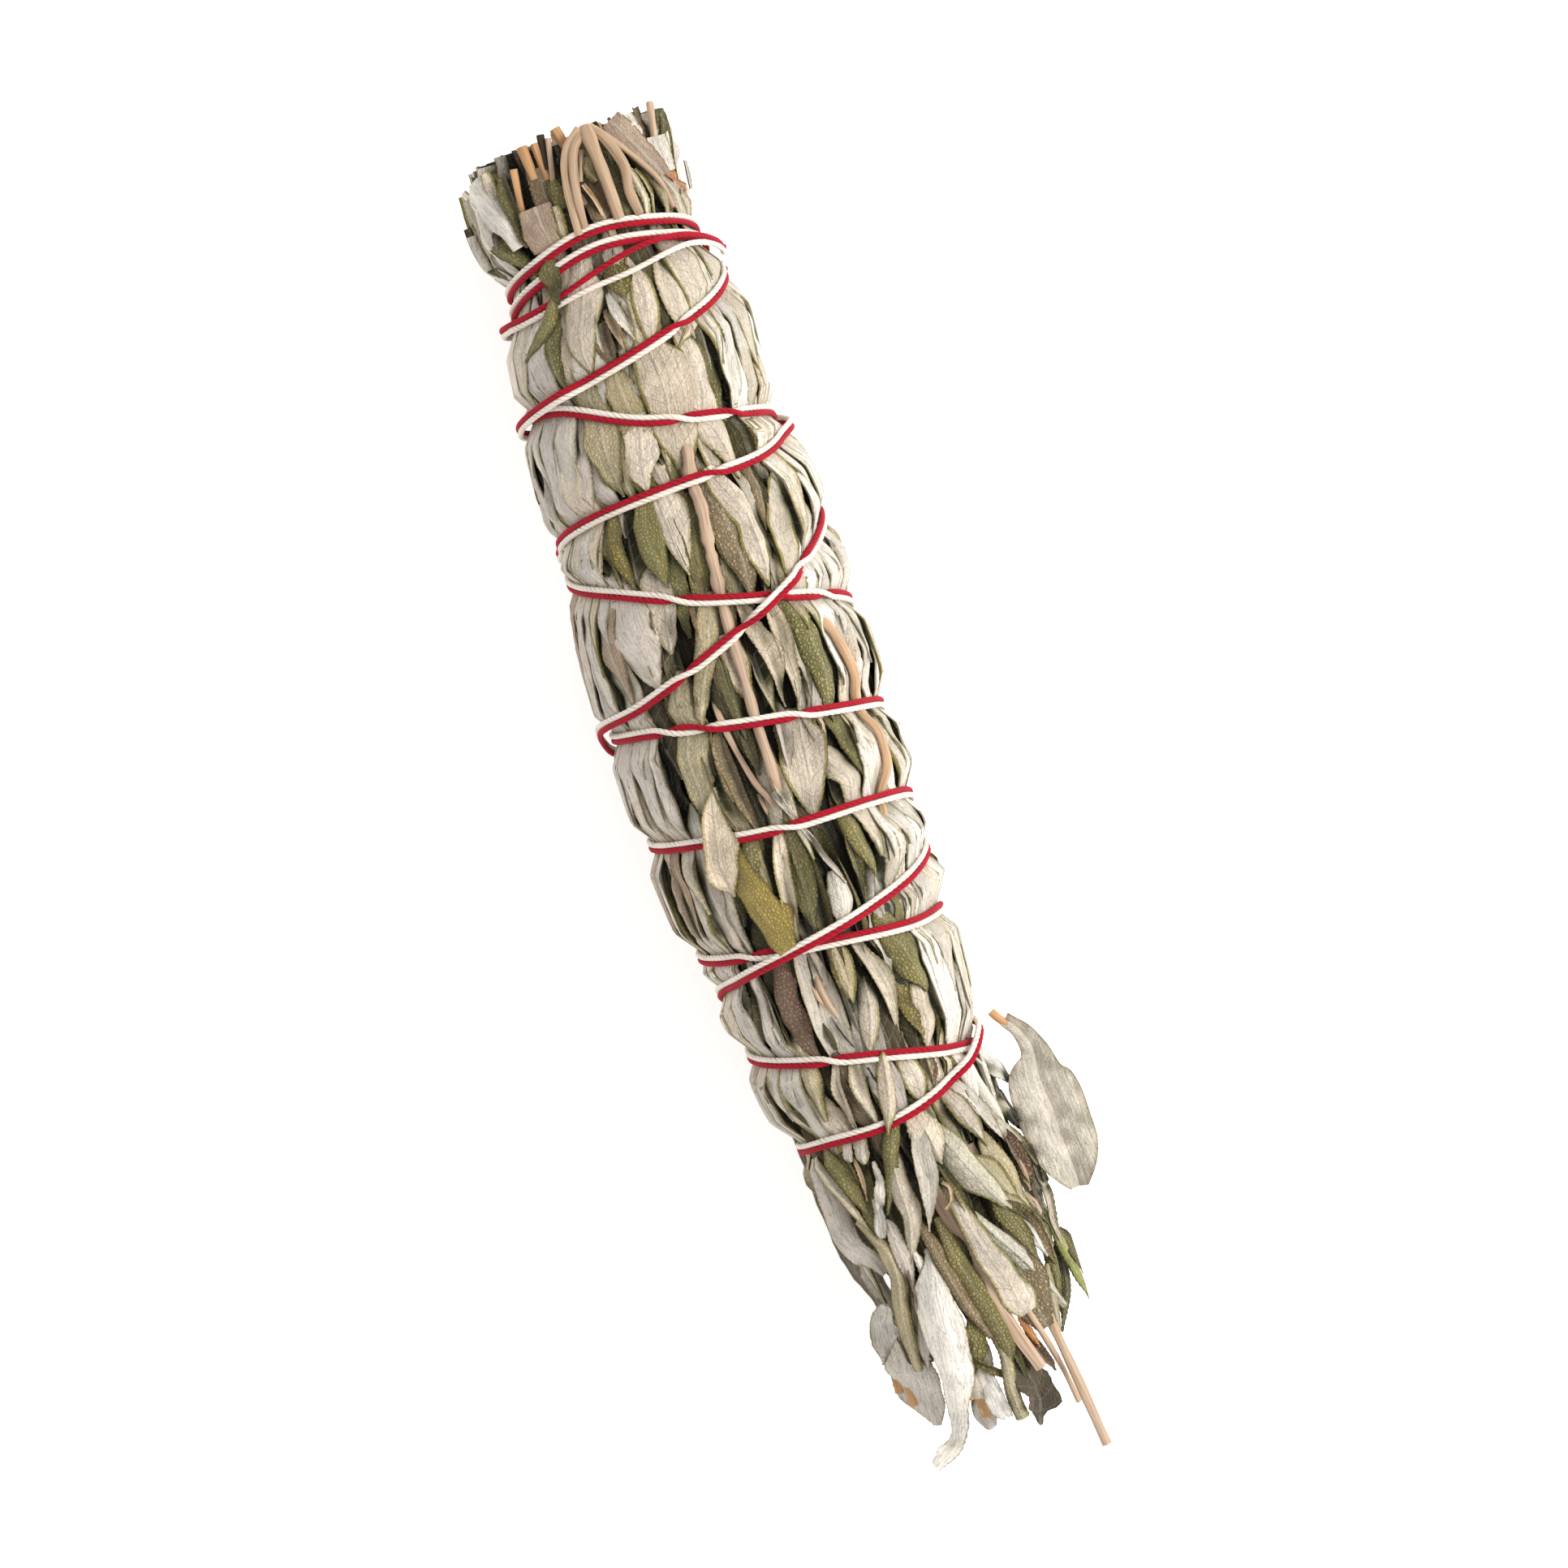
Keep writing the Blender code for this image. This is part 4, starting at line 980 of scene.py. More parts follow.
# The last layer over the whole bundle, laid more sparsely on its upper side.
layer_of_leaves(210, 0.6, COMMON_COLOURS, 1.0, skip=(1.2, 0.6), width=(3.5, 8), step=0.65)


# Leaves on the upper side
# The leaves that show one by one: each with its colour, the way it dried, its width, and its line as seen
# from above, (distance along, sideways) from the stalk end of the leaf to its point.

UPPER_LEAVES = (
    # Between the first turns and the third crossing.
    ("greige", "flat", 3.4, (24, 6.8), (33, 5.8), (39.8, 4.4)),
    ("greige", "down", 6.2, (20.4, -1), (30, -4), (40, -7)),
    ("yellow", "flat", 3.4, (24, 3.4), (27, 3.4), (30.2, 3.2)),
    ("silver", "fold", 1.8, (28.4, 0.8), (33, 1.6), (37, 2.4)),
    ("straw", "fold", 2.2, (30, -0.4), (34, -0.1), (37.8, 0.2)),
    ("umber", "fold", 3.4, (32.6, -1.6), (36.6, -2), (40.2, -2.2)),
    ("olive", "flat", 3.2, (28.4, -9), (34, -10.6), (40.4, -11.8)),
    ("silver", "crumple", 4.4, (26.4, -14), (34, -14.2), (42.6, -15.2)),
    ("lilac", "down", 5.0, (26, -12), (36, -12.4), (44, -12.8)),
    ("greige", "left", 2.8, (30.4, 19.4), (37, 19), (43.8, 17.8)),
    ("umber", "crumple", 1.9, (26.4, 20), (33.8, 20)),
    ("silver", "flat", 4.6, (24, 15.5), (32, 16), (39, 16.6)),
    ("olive", "flat", 2.8, (34, 17), (38, 16.6), (42.8, 15.8)),
    ("moss", "flat", 2.8, (41, 17.3), (46, 18), (50.6, 18.7)),
    ("greige", "down", 2.8, (30, 15.4), (36, 13.4), (40.6, 8.4)),
    ("greige", "flat", 4.4, (24.5, 11.6), (32, 11.2), (40, 11.6)),
    ("olive", "fold", 3.6, (32, 13.8), (39, 14), (47.4, 13.8)),
    ("greige", "down", 5.8, (37.4, 10.2), (52, 9.4), (63.6, 10.8)),
    ("greige", "flat", 7.8, (36.6, 4.4), (50, 3.6), (61.2, 2)),
    ("sage", "flat", 4.4, (40, -2.6), (48, -2.4), (56, -3)),
    ("greige", "down", 6.2, (47.4, -1.2), (54, -2.6), (60.8, -4.4)),
    ("sage", "left", 5.4, (41, -7.4), (50, -7.8), (60, -8.2)),
    ("lilac", "flat", 3.0, (50.4, -12.4), (55, -12.8), (60, -13.8)),
    ("silver", "down", 5.6, (42, -15.8), (52, -16.8), (62, -17)),
    ("olive", "down", 4.0, (48, 15), (56, 15.4), (64, 15)),
    # From there to the long slanting turn.
    ("greige", "down", 5.2, (60, 6.6), (70, 9.2), (81.4, 9.8)),
    ("bronze", "flat", 4.8, (60.6, 4), (72, 6), (83.6, 6)),
    ("greige", "flat", 4.8, (60.4, -3), (67, -2.8), (75.4, -2.6)),
    ("olive", "down", 5.2, (60.4, -5.8), (68, -6.4), (76.2, -6.8)),
    ("moss", "fold", 2.6, (65, -2.2), (70, -2), (76.8, -2)),
    ("greige", "right", 5.7, (71.6, -6.6), (79, -7.8), (86.2, -9.4)),
    ("yellow", "flat", 2.2, (61, -10.8), (68, -11), (76, -11.6)),
    ("sage", "fold", 3.0, (63.2, -12.6), (68, -13), (74.4, -13.6)),
    ("lilac", "down", 8.4, (70.4, -15.8), (81, -14.6), (91.4, -13.8)),
    ("silver", "flat", 4.6, (60, -15.2), (66, -15.8), (73, -16.8)),
    ("silver", "down", 6.0, (59.4, 17), (72, 17), (85, 16.2)),
    ("bronze", "down", 3.4, (60.4, 12.8), (66, 12.8), (72.8, 12.4)),
    ("greige", "flat", 2.9, (70, 13.2), (74, 13), (79, 12.6)),
    ("greige", "left", 2.8, (58.6, 19.8), (66, 21), (73.4, 20.8)),
    ("silver", "flat", 2.6, (73.5, 20.6), (79, 20.6), (84.4, 20)),
    ("sage", "down", 4.6, (76, 12.8), (82, 12.6), (90, 12.2)),
    # Across the thickest part.
    ("greige", "crumple", 3.4, (86, 19.4), (93, 18.2), (100.4, 17.8)),
    ("olive", "down", 5.4, (82.4, 10.6), (92, 12), (105.2, 12)),
    ("olive", "flat", 5.2, (102.4, 11.6), (108, 12.4), (115.4, 13.2)),
    ("greige", "fold", 4.4, (81.6, 8.2), (90, 7.8), (100.6, 7.4)),
    ("greige", "fold", 3.4, (81.6, 3.8), (90, 4.4), (100.4, 5.2)),
    ("sage", "down", 3.6, (79, 0), (88, -4), (99.6, -9.8)),
    ("moss", "fold", 2.8, (88.4, -2.4), (96, -2.7), (103, -3)),
    ("moss", "fold", 2.6, (100.6, -3), (104, -3), (109.2, -3)),
    ("greige", "fold", 3.8, (88.6, 2.4), (94, 2.6), (101, 2.6)),
    ("lilac", "fold", 4.2, (99, 3.2), (104, 2.8), (110.4, 1.8)),
    ("greige", "right", 6.4, (101, 6.4), (110, 4.6), (119.8, 3.2)),
    ("greige", "flat", 4.9, (108, 6), (114, 9.6), (128, 11.2)),
    ("greige", "flat", 4.4, (119, 13.8), (127, 13), (135, 10.8)),
    ("olive", "fold", 2.8, (109, 7.6), (114, 7.2), (119.2, 6.6)),
    ("olive", "down", 3.4, (118.4, 7.4), (124, 8.4), (130.4, 9.2)),
    ("olive", "fold", 2.6, (122.6, 5.8), (128, 6), (135, 6)),
    ("lilac", "roll", 2.8, (112.4, -2), (120, 0.8), (130, 3.8)),
    ("silver", "down", 4.4, (127.4, 2.8), (132, 2.2), (136.6, 1.2)),
    ("moss", "flat", 3.8, (118, -1.8), (127, -2.3), (136.6, -3.2)),
    ("greige", "fold", 3.1, (117.4, -3), (128, -5), (137.4, -6.8)),
    ("bronze", "fold", 2.9, (100.4, -6.8), (109, -6.8), (118.4, -6.4)),
    ("olive", "down", 3.0, (116.6, -7.6), (121, -8.6), (125.6, -9.8)),
    ("sage", "left", 4.9, (89, -10.4), (103, -12.2), (118, -12.8)),
    ("silver", "down", 3.2, (110, -18.2), (122, -18.8), (136, -18.2)),
    ("lilac", "flat", 3.4, (112, -15.6), (124, -16.4), (138, -15.4)),
    ("silver", "fold", 2.4, (116, -20.2), (126, -20.4), (138, -19.6)),
    ("silver", "flat", 3.6, (90, -19.8), (103, -20.6), (117, -20.0)),
    ("lilac", "down", 3.2, (96, -17.2), (107, -18.2), (119, -17.6)),
    ("olive", "down", 3.2, (38, 13.8), (46, 15.0), (56, 15.8)),
    ("greige", "fold", 2.4, (44, 17.2), (51, 18.4), (60, 19.0)),
    ("silver", "crumple", 1.9, (118.4, -19.8), (122, -17.2)),
    ("rust", "fold", 1.3, (124.6, -18.8), (130, -18.4), (135.2, -18)),
    ("silver", "flat", 4.4, (120, -16.2), (127, -15.6), (135.8, -14.4)),
    ("silver", "down", 4.4, (119.4, 17.4), (128, 17.4), (137.8, 16.8)),
    ("silver", "flat", 4.0, (100, 16.4), (110, 14.6), (118, 14.2)),
    ("greige", "down", 4.4, (86, -0.6), (92, -0.2), (99, 0)),
    ("greige", "fold", 3.8, (92, -15.6), (102, -16.8), (114, -17.4)),
    # From the thick part to the last turn.
    ("silver", "roll", 3.6, (138, 15.4), (141, 16.4), (143, 17)),
    ("lilac", "fold", 2.6, (140.6, 17.4), (146.6, 17)),
    ("olive", "fold", 1.6, (140, 15.2), (149.4, 15.2)),
    ("silver", "down", 4.0, (147.4, 13.2), (154, 12.8), (161.6, 12.4)),
    ("olive", "down", 5.4, (136, 7.6), (144, 9), (150.8, 10.8)),
    ("yellow", "crumple", 2.0, (145, 6), (151, 6.2), (157.4, 6.6)),
    ("greige", "down", 3.4, (147.4, 9.8), (154, 8.8), (160.4, 7.2)),
    ("greige", "fold", 3.1, (138, 2), (147, 4), (155.6, 4)),
    ("greige", "down", 4.2, (145, 1.8), (151, 0.4), (157.4, -1.8)),
    ("sage", "flat", 3.4, (138.4, -1.4), (143, -1.5), (148.4, -1.5)),
    ("pink", "down", 5.0, (136, -9.4), (145, -11), (156.2, -9.4)),
    ("greige", "fold", 2.8, (155, -5), (162, -5), (169, -5)),
    ("greige", "fold", 2.8, (155, -7.8), (162, -8.2), (168.6, -8.6)),
    ("greige", "flat", 3.4, (158, 3.4), (163, 3.6), (168.6, 4)),
    ("pink", "fold", 1.9, (159.6, 6.2), (166, 6.2)),
    ("silver", "fold", 2.8, (160.4, 14), (166, 14.2), (172.8, 14.6)),
    ("silver", "down", 3.8, (160, 11.8), (168, 12.6), (176.8, 13.7)),
    ("lilac", "fold", 2.4, (135.4, -14.4), (145, -14.2), (154.6, -14)),
    ("lilac", "down", 3.4, (138, -17.4), (146, -17.8), (153.6, -17.8)),
    ("silver", "down", 4.4, (152.4, -15), (158, -16.6), (163.4, -19)),
    ("sage", "down", 3.4, (150, -12), (157, -12), (165, -12.6)),
)
# The widths are as seen, and the leaves' neighbours cover their margins.
COVERED_WIDTH = 1.3
for colour, style, width, *line in sorted(UPPER_LEAVES, key=lambda row: -row[3][0]):
    end = 0.93 if style == "crumple" else rng.uniform(0.96, 1.0)
    width *= COVERED_WIDTH
    lay_leaf(line, width, style, colour, 0.92, step=0.4, seen=True, start=0.05, end=end, tuck=1.2)

# Long narrow leaves along both sides, pressed flat or folded, from the last turns of twine to the first.
SIDE_LEAVES, SIDE_START, SIDE_PITCH = 104, 153, 1.32
SIDE_ANGLES, SIDE_LENGTHS, SIDE_WIDTHS = (0.76, 1.52), (22, 32), (3.4, 6.2)
SIDE_STYLES = {"fold": 1.5, "flat": 4, "down": 3, "roof": 1}
SHADED_COLOURS = {"lilac": 4, "silver": 2.5, "greige": 2, "sage": 1, "taupe": 1}
SUNLIT_COLOURS = {"silver": 5, "cream": 2.5, "greige": 2, "frost": 1}
for number in range(SIDE_LEAVES):
    x = SIDE_START - SIDE_PITCH * number + rng.uniform(-2, 2)
    low, high = SIDE_ANGLES
    angle = (-1 if number % 2 else 1) * (low + (high - low) * ((number * GOLDEN) % 1.0))
    line = [(x + run, angle + rng.uniform(-0.05, 0.05)) for run in (0, 12, rng.uniform(*SIDE_LENGTHS))]
    style = picked(SIDE_STYLES)
    colour = picked(SHADED_COLOURS if angle < 0 else SUNLIT_COLOURS)
    lay_leaf(line, rng.uniform(*SIDE_WIDTHS), style, colour, 0.9, step=0.8)


LEAST_LEVEL = 3.0


def rounded(line, radius):
    """Points of (distance along, sideways, depth under the bundle's round top) as (x, y, height).

    The top is as high over the middle as the root of radius^2 - aside^2, and no lower than LEAST_LEVEL.
    """
    x, aside, depth = np.array(line, float).T
    level = np.sqrt(np.maximum(radius(x) ** 2 - (aside - centre_at(x)) ** 2, LEAST_LEVEL**2))
    return np.column_stack([x, aside, CENTRE_HEIGHT + level - depth])


# Free leaves at the leafy end, from the last turn to the points. After the width comes how wide the leaf is
# along its length, as (share of the length, share of the width), or nothing for a common outline.
WHOLE = ((0, 0.9), (0.5, 1), (1, 0.9))
TORN = ((0, 0.3), (0.3, 1), (0.8, 1), (1, 0.5))
SHORT = ((0, 0.8), (0.6, 1), (0.85, 0.8), (1, 0.3))
END_LEAVES = (
    # Under the bare stalks and between them.
    ("moss", "flat", 2.4, None, (196, -7.6, 2.4), (201.3, -8.9, 2.0), (207.4, -9.6, 2.2)),
    (
        "silver", "flat", 7.6, ((0, 0.5), (0.3, 0.95), (0.7, 0.9), (1, 0.15)),
        (203, -11.5, 2.6), (209, -12.2, 1.8), (213, -12.2, 1.6), (218, -12.4, 2.2),
    ),
    ("lilac", "flat", 2.2, None, (196, -9.2, 1.8), (203, -10, 1.4), (208.6, -10.6, 1.6)),
    (
        "silver", "crumple", 5.2, TORN,
        (196, -13.4, 1.4), (200.5, -15, 0.5), (204.5, -14.8, 0.3), (209.3, -14, 0.8),
    ),
    (
        "bark", "crumple", 5.4,
        ((0, 0.5), (0.3, 0.8), (0.5, 1), (0.6, 0.8), (0.75, 0.95), (0.85, 0.5), (1, 0.1)),
        (210, 3.6, 2.0), (214, 4.2, 1.0), (218, 4.6, 0.8), (223.2, 3.4, 1.6),
    ),
    ("silver", "flat", 5.4, WHOLE, (206, -2.8, 3.2), (211, -3.1, 2.0), (215.8, -3.4, 2.2)),
    ("lilac", "down", 3.4, TORN, (214, -4.8, 3.0), (218, -4.8, 2.5), (221, -4.6, 3.0)),
    ("cream", "crumple", 3.0, TORN, (211, -1.6, 2.4), (216, -1.6, 1.3), (220, -1.0, 1.8)),
    (
        "olive", "flat", 3.8, ((0, 0.5), (0.4, 0.8), (0.75, 1), (1, 0.3)),
        (200, 0.4, 2.4), (204, -0.8, 1.5), (207.4, -2.6, 1.3), (211.4, -5, 1.6),
    ),
    ("moss", "fold", 1.8, None, (204, 3.6, 1.8), (209, 4.5, 1.2), (214.6, 5.0, 1.3)),
    ("olive", "fold", 2.0, None, (204, 3.0, 1.6), (210, 3.6, 0.9), (216, 3.8, 1.0)),
    ("pink", "fold", 2.2, None, (207, 6.1, 2.2), (212, 7.4, 1.5), (215.8, 8.7, 1.8)),
    ("rust", "crumple", 1.4, None, (203.6, 6.0, 1.4), (207.6, 6.9, 0.8), (210.9, 7.5, 1.2)),
    (
        "yellow", "roll", 3.0, ((0, 0.5), (0.5, 1), (1, 0.6)),
        (208.6, -4.0, 2.0), (210.6, -2.0, 1.4), (213.2, 0.6, 1.8),
    ),
    # The folded olive leaf with its groove, and the greige one that runs on from it.
    (
        "sage", "down", 2.8, ((0, 0.6), (0.5, 0.9), (1, 1)),
        (205.4, 1.4, 1.2), (210, 1.5, 0.2), (216, 0.8, 0.4), (221, 1.0, 1.0),
    ),
    (
        "bronze", "down", 3.2, TORN,
        (184.6, -4.0, 2.0), (190, -3.1, 0.0), (195.5, -2.2, -0.4), (201, -1.0, -0.3), (206.5, 0.9, 0.3),
    ),
    (
        "olive", "down", 3.4, TORN,
        (185.4, -1.2, 2.0), (191, -0.5, -0.1), (196, 0.4, -0.4), (202, 1.7, -0.6), (208, 2.7, -0.7),
        (211.6, 2.2, 0.3),
    ),
    # Along the right side.
    ("moss", "down", 2.5, None, (196, 16.2, 1.8), (203.6, 15.3, 1.0), (210.2, 11.9, 1.4)),
    ("olive", "down", 2.6, None, (191, 14.2, 1.5), (198.6, 14.5, 0.7), (205.4, 13.4, 0.9)),
    ("moss", "flat", 2.2, None, (194.5, 17.2, 1.2), (199, 18.2, 0.4), (203, 18.6, 0.8)),
    ("lime", "down", 2.0, None, (190.6, 16.0, 1.2), (198, 17.0, -0.2), (202.8, 17.4, -0.4), (207, 18.0, 0.0)),
    ("sage", "down", 2.3, TORN, (199, 13.2, 1.6), (204, 12.2, 0.9), (210, 11.4, 1.1)),
    (
        "bronze", "flat", 5.4, ((0, 0.4), (0.3, 0.9), (0.7, 1), (1, 0.5)),
        (194, 7.6, 1.5), (198.1, 8.7, 0.6), (203.7, 9.2, 0.4), (208.4, 9.6, 0.7),
    ),
    ("bronze", "fold", 2.6, None, (187, 10.8, 1.3), (193, 13.0, 0.4), (200, 14.6, 0.7)),
    ("olive", "flat", 3.0, None, (185, 8.6, 1.6), (190, 10.4, 0.5), (199, 12.4, 0.6)),
    ("olive", "fold", 2.8, None, (186.4, 9.2, 1.4), (189.8, 12.2, 0.4), (195.4, 15.2, 0.5)),
    ("cream", "down", 2.2, None, (189.6, 11.2, 1.2), (192.5, 12.4, 0.1), (197.8, 13.7, 0.2)),
    (
        "frost", "down", 4.2, ((0, 0.3), (0.3, 0.8), (0.7, 1), (1, 0.3)),
        (186.6, 4.6, 1.2), (191, 6.8, 0.0), (194, 8.4, -0.4), (199.3, 11.1, -0.5), (206.4, 13.8, 0.3),
    ),
    # The serrated leaf over the shorter bare stalk.
    (
        "greige", "flat", 5.2, ((0, 0.3), (0.25, 0.45), (0.5, 0.65), (0.8, 0.95), (0.93, 1), (1, 0.6)),
        (179.6, 2.0, 1.6), (183.4, 2.8, 0.1), (188.1, 3.5, -0.7), (194.1, 4.9, -1.1), (199.8, 6.4, -1.1),
        (204.8, 7.4, -0.4),
    ),
    ("moss", "flat", 2.0, None, (188, -0.4, 1.8), (192, 0.8, 0.8), (197, 2.4, 1.2)),
    # The left side.
    ("umber", "roll", 1.5, None, (188, -8.0, 1.5), (193, -8.4, 0.5), (197, -8.9, 0.4), (202.4, -10.6, 1.0)),
    (
        "lilac", "down", 4.4, ((0, 0.4), (0.3, 1), (0.7, 0.9), (1, 0.3)),
        (170, -16.8, 1.0), (177, -16.3, 0.0), (183.3, -16.3, -0.2), (187.5, -14, 0.0), (191.4, -12.0, 0.9),
    ),
    (
        "sage", "down", 3.2, ((0, 0.7), (0.3, 1), (0.8, 0.8), (1, 0.5)),
        (181.6, -12.8, 1.5), (187.9, -10.5, 0.0), (192.6, -10.2, -0.5), (197, -11.3, -0.7),
        (202.2, -12, -0.7), (208.2, -12.2, -0.2),
    ),
    ("greige", "down", 2.1, None, (167, -17.6, 1.0), (176.1, -14.5, -0.1), (184.8, -11.3, 0.4)),
    ("olive", "flat", 2.6, None, (167.6, -15.4, 1.2), (175.7, -12.5, 0.1), (182, -11.0, 0.5)),
    ("lilac", "flat", 2.6, None, (183, -8.6, 1.4), (189, -8.3, 0.3), (195.6, -8.1, 0.7)),
    ("cream", "crumple", 2.0, TORN, (189, -6.2, 1.4), (192.6, -6.1, 0.3), (195.4, -6.3, 0.8)),
    # The big white curled leaf.
    (
        "cream", "down", 7.4,
        (
            (0, 0.17), (0.11, 0.3), (0.22, 0.82), (0.33, 1), (0.45, 0.9), (0.56, 0.66), (0.67, 0.46),
            (0.78, 0.38), (0.9, 0.4), (1, 0.25),
        ),
        (189.5, -3.9, 2.0), (192.4, -4.3, 0.4), (197, -5.0, -0.8), (202.6, -5.6, -1.6), (207.6, -6.4, -1.4),
        (212.7, -7.6, -0.6), (217.3, -8.8, 0.2), (221.2, -10.2, 0.6), (222.9, -12.2, 1.0),
        (224.2, -15.0, 1.3),
    ),
    # Small pale and olive ones between the rest.
    ("olive", "flat", 3.4, WHOLE, (169, -10.8, 2.0), (176, -9.8, 1.6), (184, -9.4, 1.6)),
    ("yellow", "fold", 1.9, None, (170.4, -11.9, 1.4), (173.7, -11.2, 0.8), (177.2, -10.7, 1.0)),
    ("straw", "fold", 1.4, None, (171.6, -10.1, 1.3), (174.9, -9.9, 0.6), (179.2, -10.5, 0.9)),
    (
        "cream", "crumple", 1.5, TORN,
        (173.4, -7.4, 1.1), (176.9, -7.5, 0.3), (179.4, -8.2, 0.3), (181.6, -9.2, 0.8),
    ),
    ("silver", "crumple", 1.8, TORN, (179.2, -9.4, 1.0), (182.4, -9.5, 0.3), (185.6, -10.1, 0.8)),
    (
        "sage", "flat", 3.6, None,
        (174.6, 10.4, 1.4), (180.6, 11.2, 0.6), (185.2, 12.2, 0.6), (190.4, 13.9, 1.0),
    ),
    (
        "sage", "roof", 3.2, None,
        (177.0, 11.2, 1.2), (183.7, 12.5, 0.4), (188.6, 14.2, 0.4), (193.6, 15.9, 0.9),
    ),
    (
        "sage", "flat", 2.8, TORN,
        (185.6, 10.2, 1.0), (189.1, 12.2, 0.2), (193.2, 13.9, 0.2), (197.0, 15.0, 0.7),
    ),
    ("straw", "flat", 1.7, None, (180.6, 14.7, 0.9), (183.7, 14.9, 0.2), (187.0, 14.7, 0.6)),
    ("lilac", "down", 1.6, None, (180.6, 16.0, 0.8), (185.0, 16.5, 0.0), (189.6, 16.2, 0.4)),
    # Nearest the twine, over the bases of the rest.
    ("pink", "fold", 3.4, None, (175, 13.6, 1.4), (181.8, 14.9, 0.1), (187, 15.1, 0.5)),
    (
        "greige", "fold", 1.8, None,
        (179.6, 16.4, 1.0), (186.6, 17.0, -0.1), (193.8, 16.4, -0.2), (198, 16.7, 0.1),
    ),
    ("moss", "crumple", 2.6, None, (182.4, 18.0, 1.0), (185, 18.3, 0.2), (188, 17.4, 0.5)),
    ("olive", "fold", 2.4, None, (176.6, 2.2, 1.4), (184, 4.1, 0.1), (190.4, 5.0, 0.9)),
    (
        "olive", "roof", 4.2, ((0, 0.8), (0.3, 1), (1, 0.1)),
        (168.4, -2.2, 1.2), (172.6, -3.8, 0.2), (176.8, -5.4, 0.2), (182.4, -8.2, 0.8),
    ),
    ("sage", "flat", 4.0, None, (178, 7.6, 1.4), (183, 10.4, 0.5), (190, 13.0, 0.7)),
    ("greige", "down", 4.8, None, (172, -4.0, 1.4), (178, -4.8, 0.1), (184, -5.1, 0.0), (191, -7.1, 0.5)),
    ("greige", "flat", 5.0, None, (167, 1.6, 1.2), (172.9, 2.4, 0.1), (177.6, 2.9, 0.6)),
    ("silver", "fold", 4.6, None, (170, 1.0, 1.4), (174.8, 0.2, 0.1), (179.8, -0.4, -0.2), (187, -2.8, 0.3)),
    (
        "frost", "down", 6.2, None,
        (170.6, 3.4, 1.6), (177, 5.6, 0.0), (181, 7.3, -0.3), (185.1, 9.0, -0.2), (190.4, 12.2, 0.5),
    ),
    ("silver", "fold", 3.6, None, (164, 9.2, 1.2), (170, 11.4, 0.1), (178.2, 13.8, 0.5)),
    ("cream", "down", 4.0, None, (162, 11.4, 1.2), (168, 13.0, 0.0), (176.4, 14.8, 0.4)),
    ("greige", "flat", 3.6, None, (165, 6.6, 1.4), (170.6, 8.4, 0.3), (177.6, 10.8, 0.6)),
    ("cream", "crumple", 2.2, None, (168.6, 13.6, 1.0), (173.4, 15.6, 0.0), (177.8, 17.4, 0.4)),
    ("greige", "fold", 2.4, None, (175.6, 14.8, 1.2), (180, 16.0, 0.2), (185.4, 17.6, 0.4)),
    ("greige", "flat", 2.7, SHORT, (167.6, -8.4, 1.6), (170.2, -8.6, 0.4), (173.4, -8.8, 0.6)),
    ("lilac", "flat", 2.3, SHORT, (166.8, -11.6, 1.6), (169.2, -11.2, 0.4), (172.4, -10.6, 0.6)),
    ("frost", "flat", 2.6, None, (169, 11.0, 1.2), (174.6, 12.9, 0.0), (180.6, 17.2, 0.5)),
    ("silver", "down", 2.6, None, (169, 15.0, 1.0), (174, 16.4, 0.1), (179.0, 17.8, 0.4)),
    (
        "straw", "roll", 1.2, WHOLE,
        (180.4, 2.0, 0.8), (181.5, 2.7, -0.4), (183.5, 2.3, -0.5), (184.6, 1.0, 0.2),
    ),
)
COVERED_END_WIDTH = 1.15
for colour, style, width, profile, *line in END_LEAVES:
    spots, width = rounded(line, tip_radius), COVERED_END_WIDTH * width
    free_leaf(spots, width, style, colour, step=0.4, seen=True, upward=0.6, pressed=True, profile=profile)

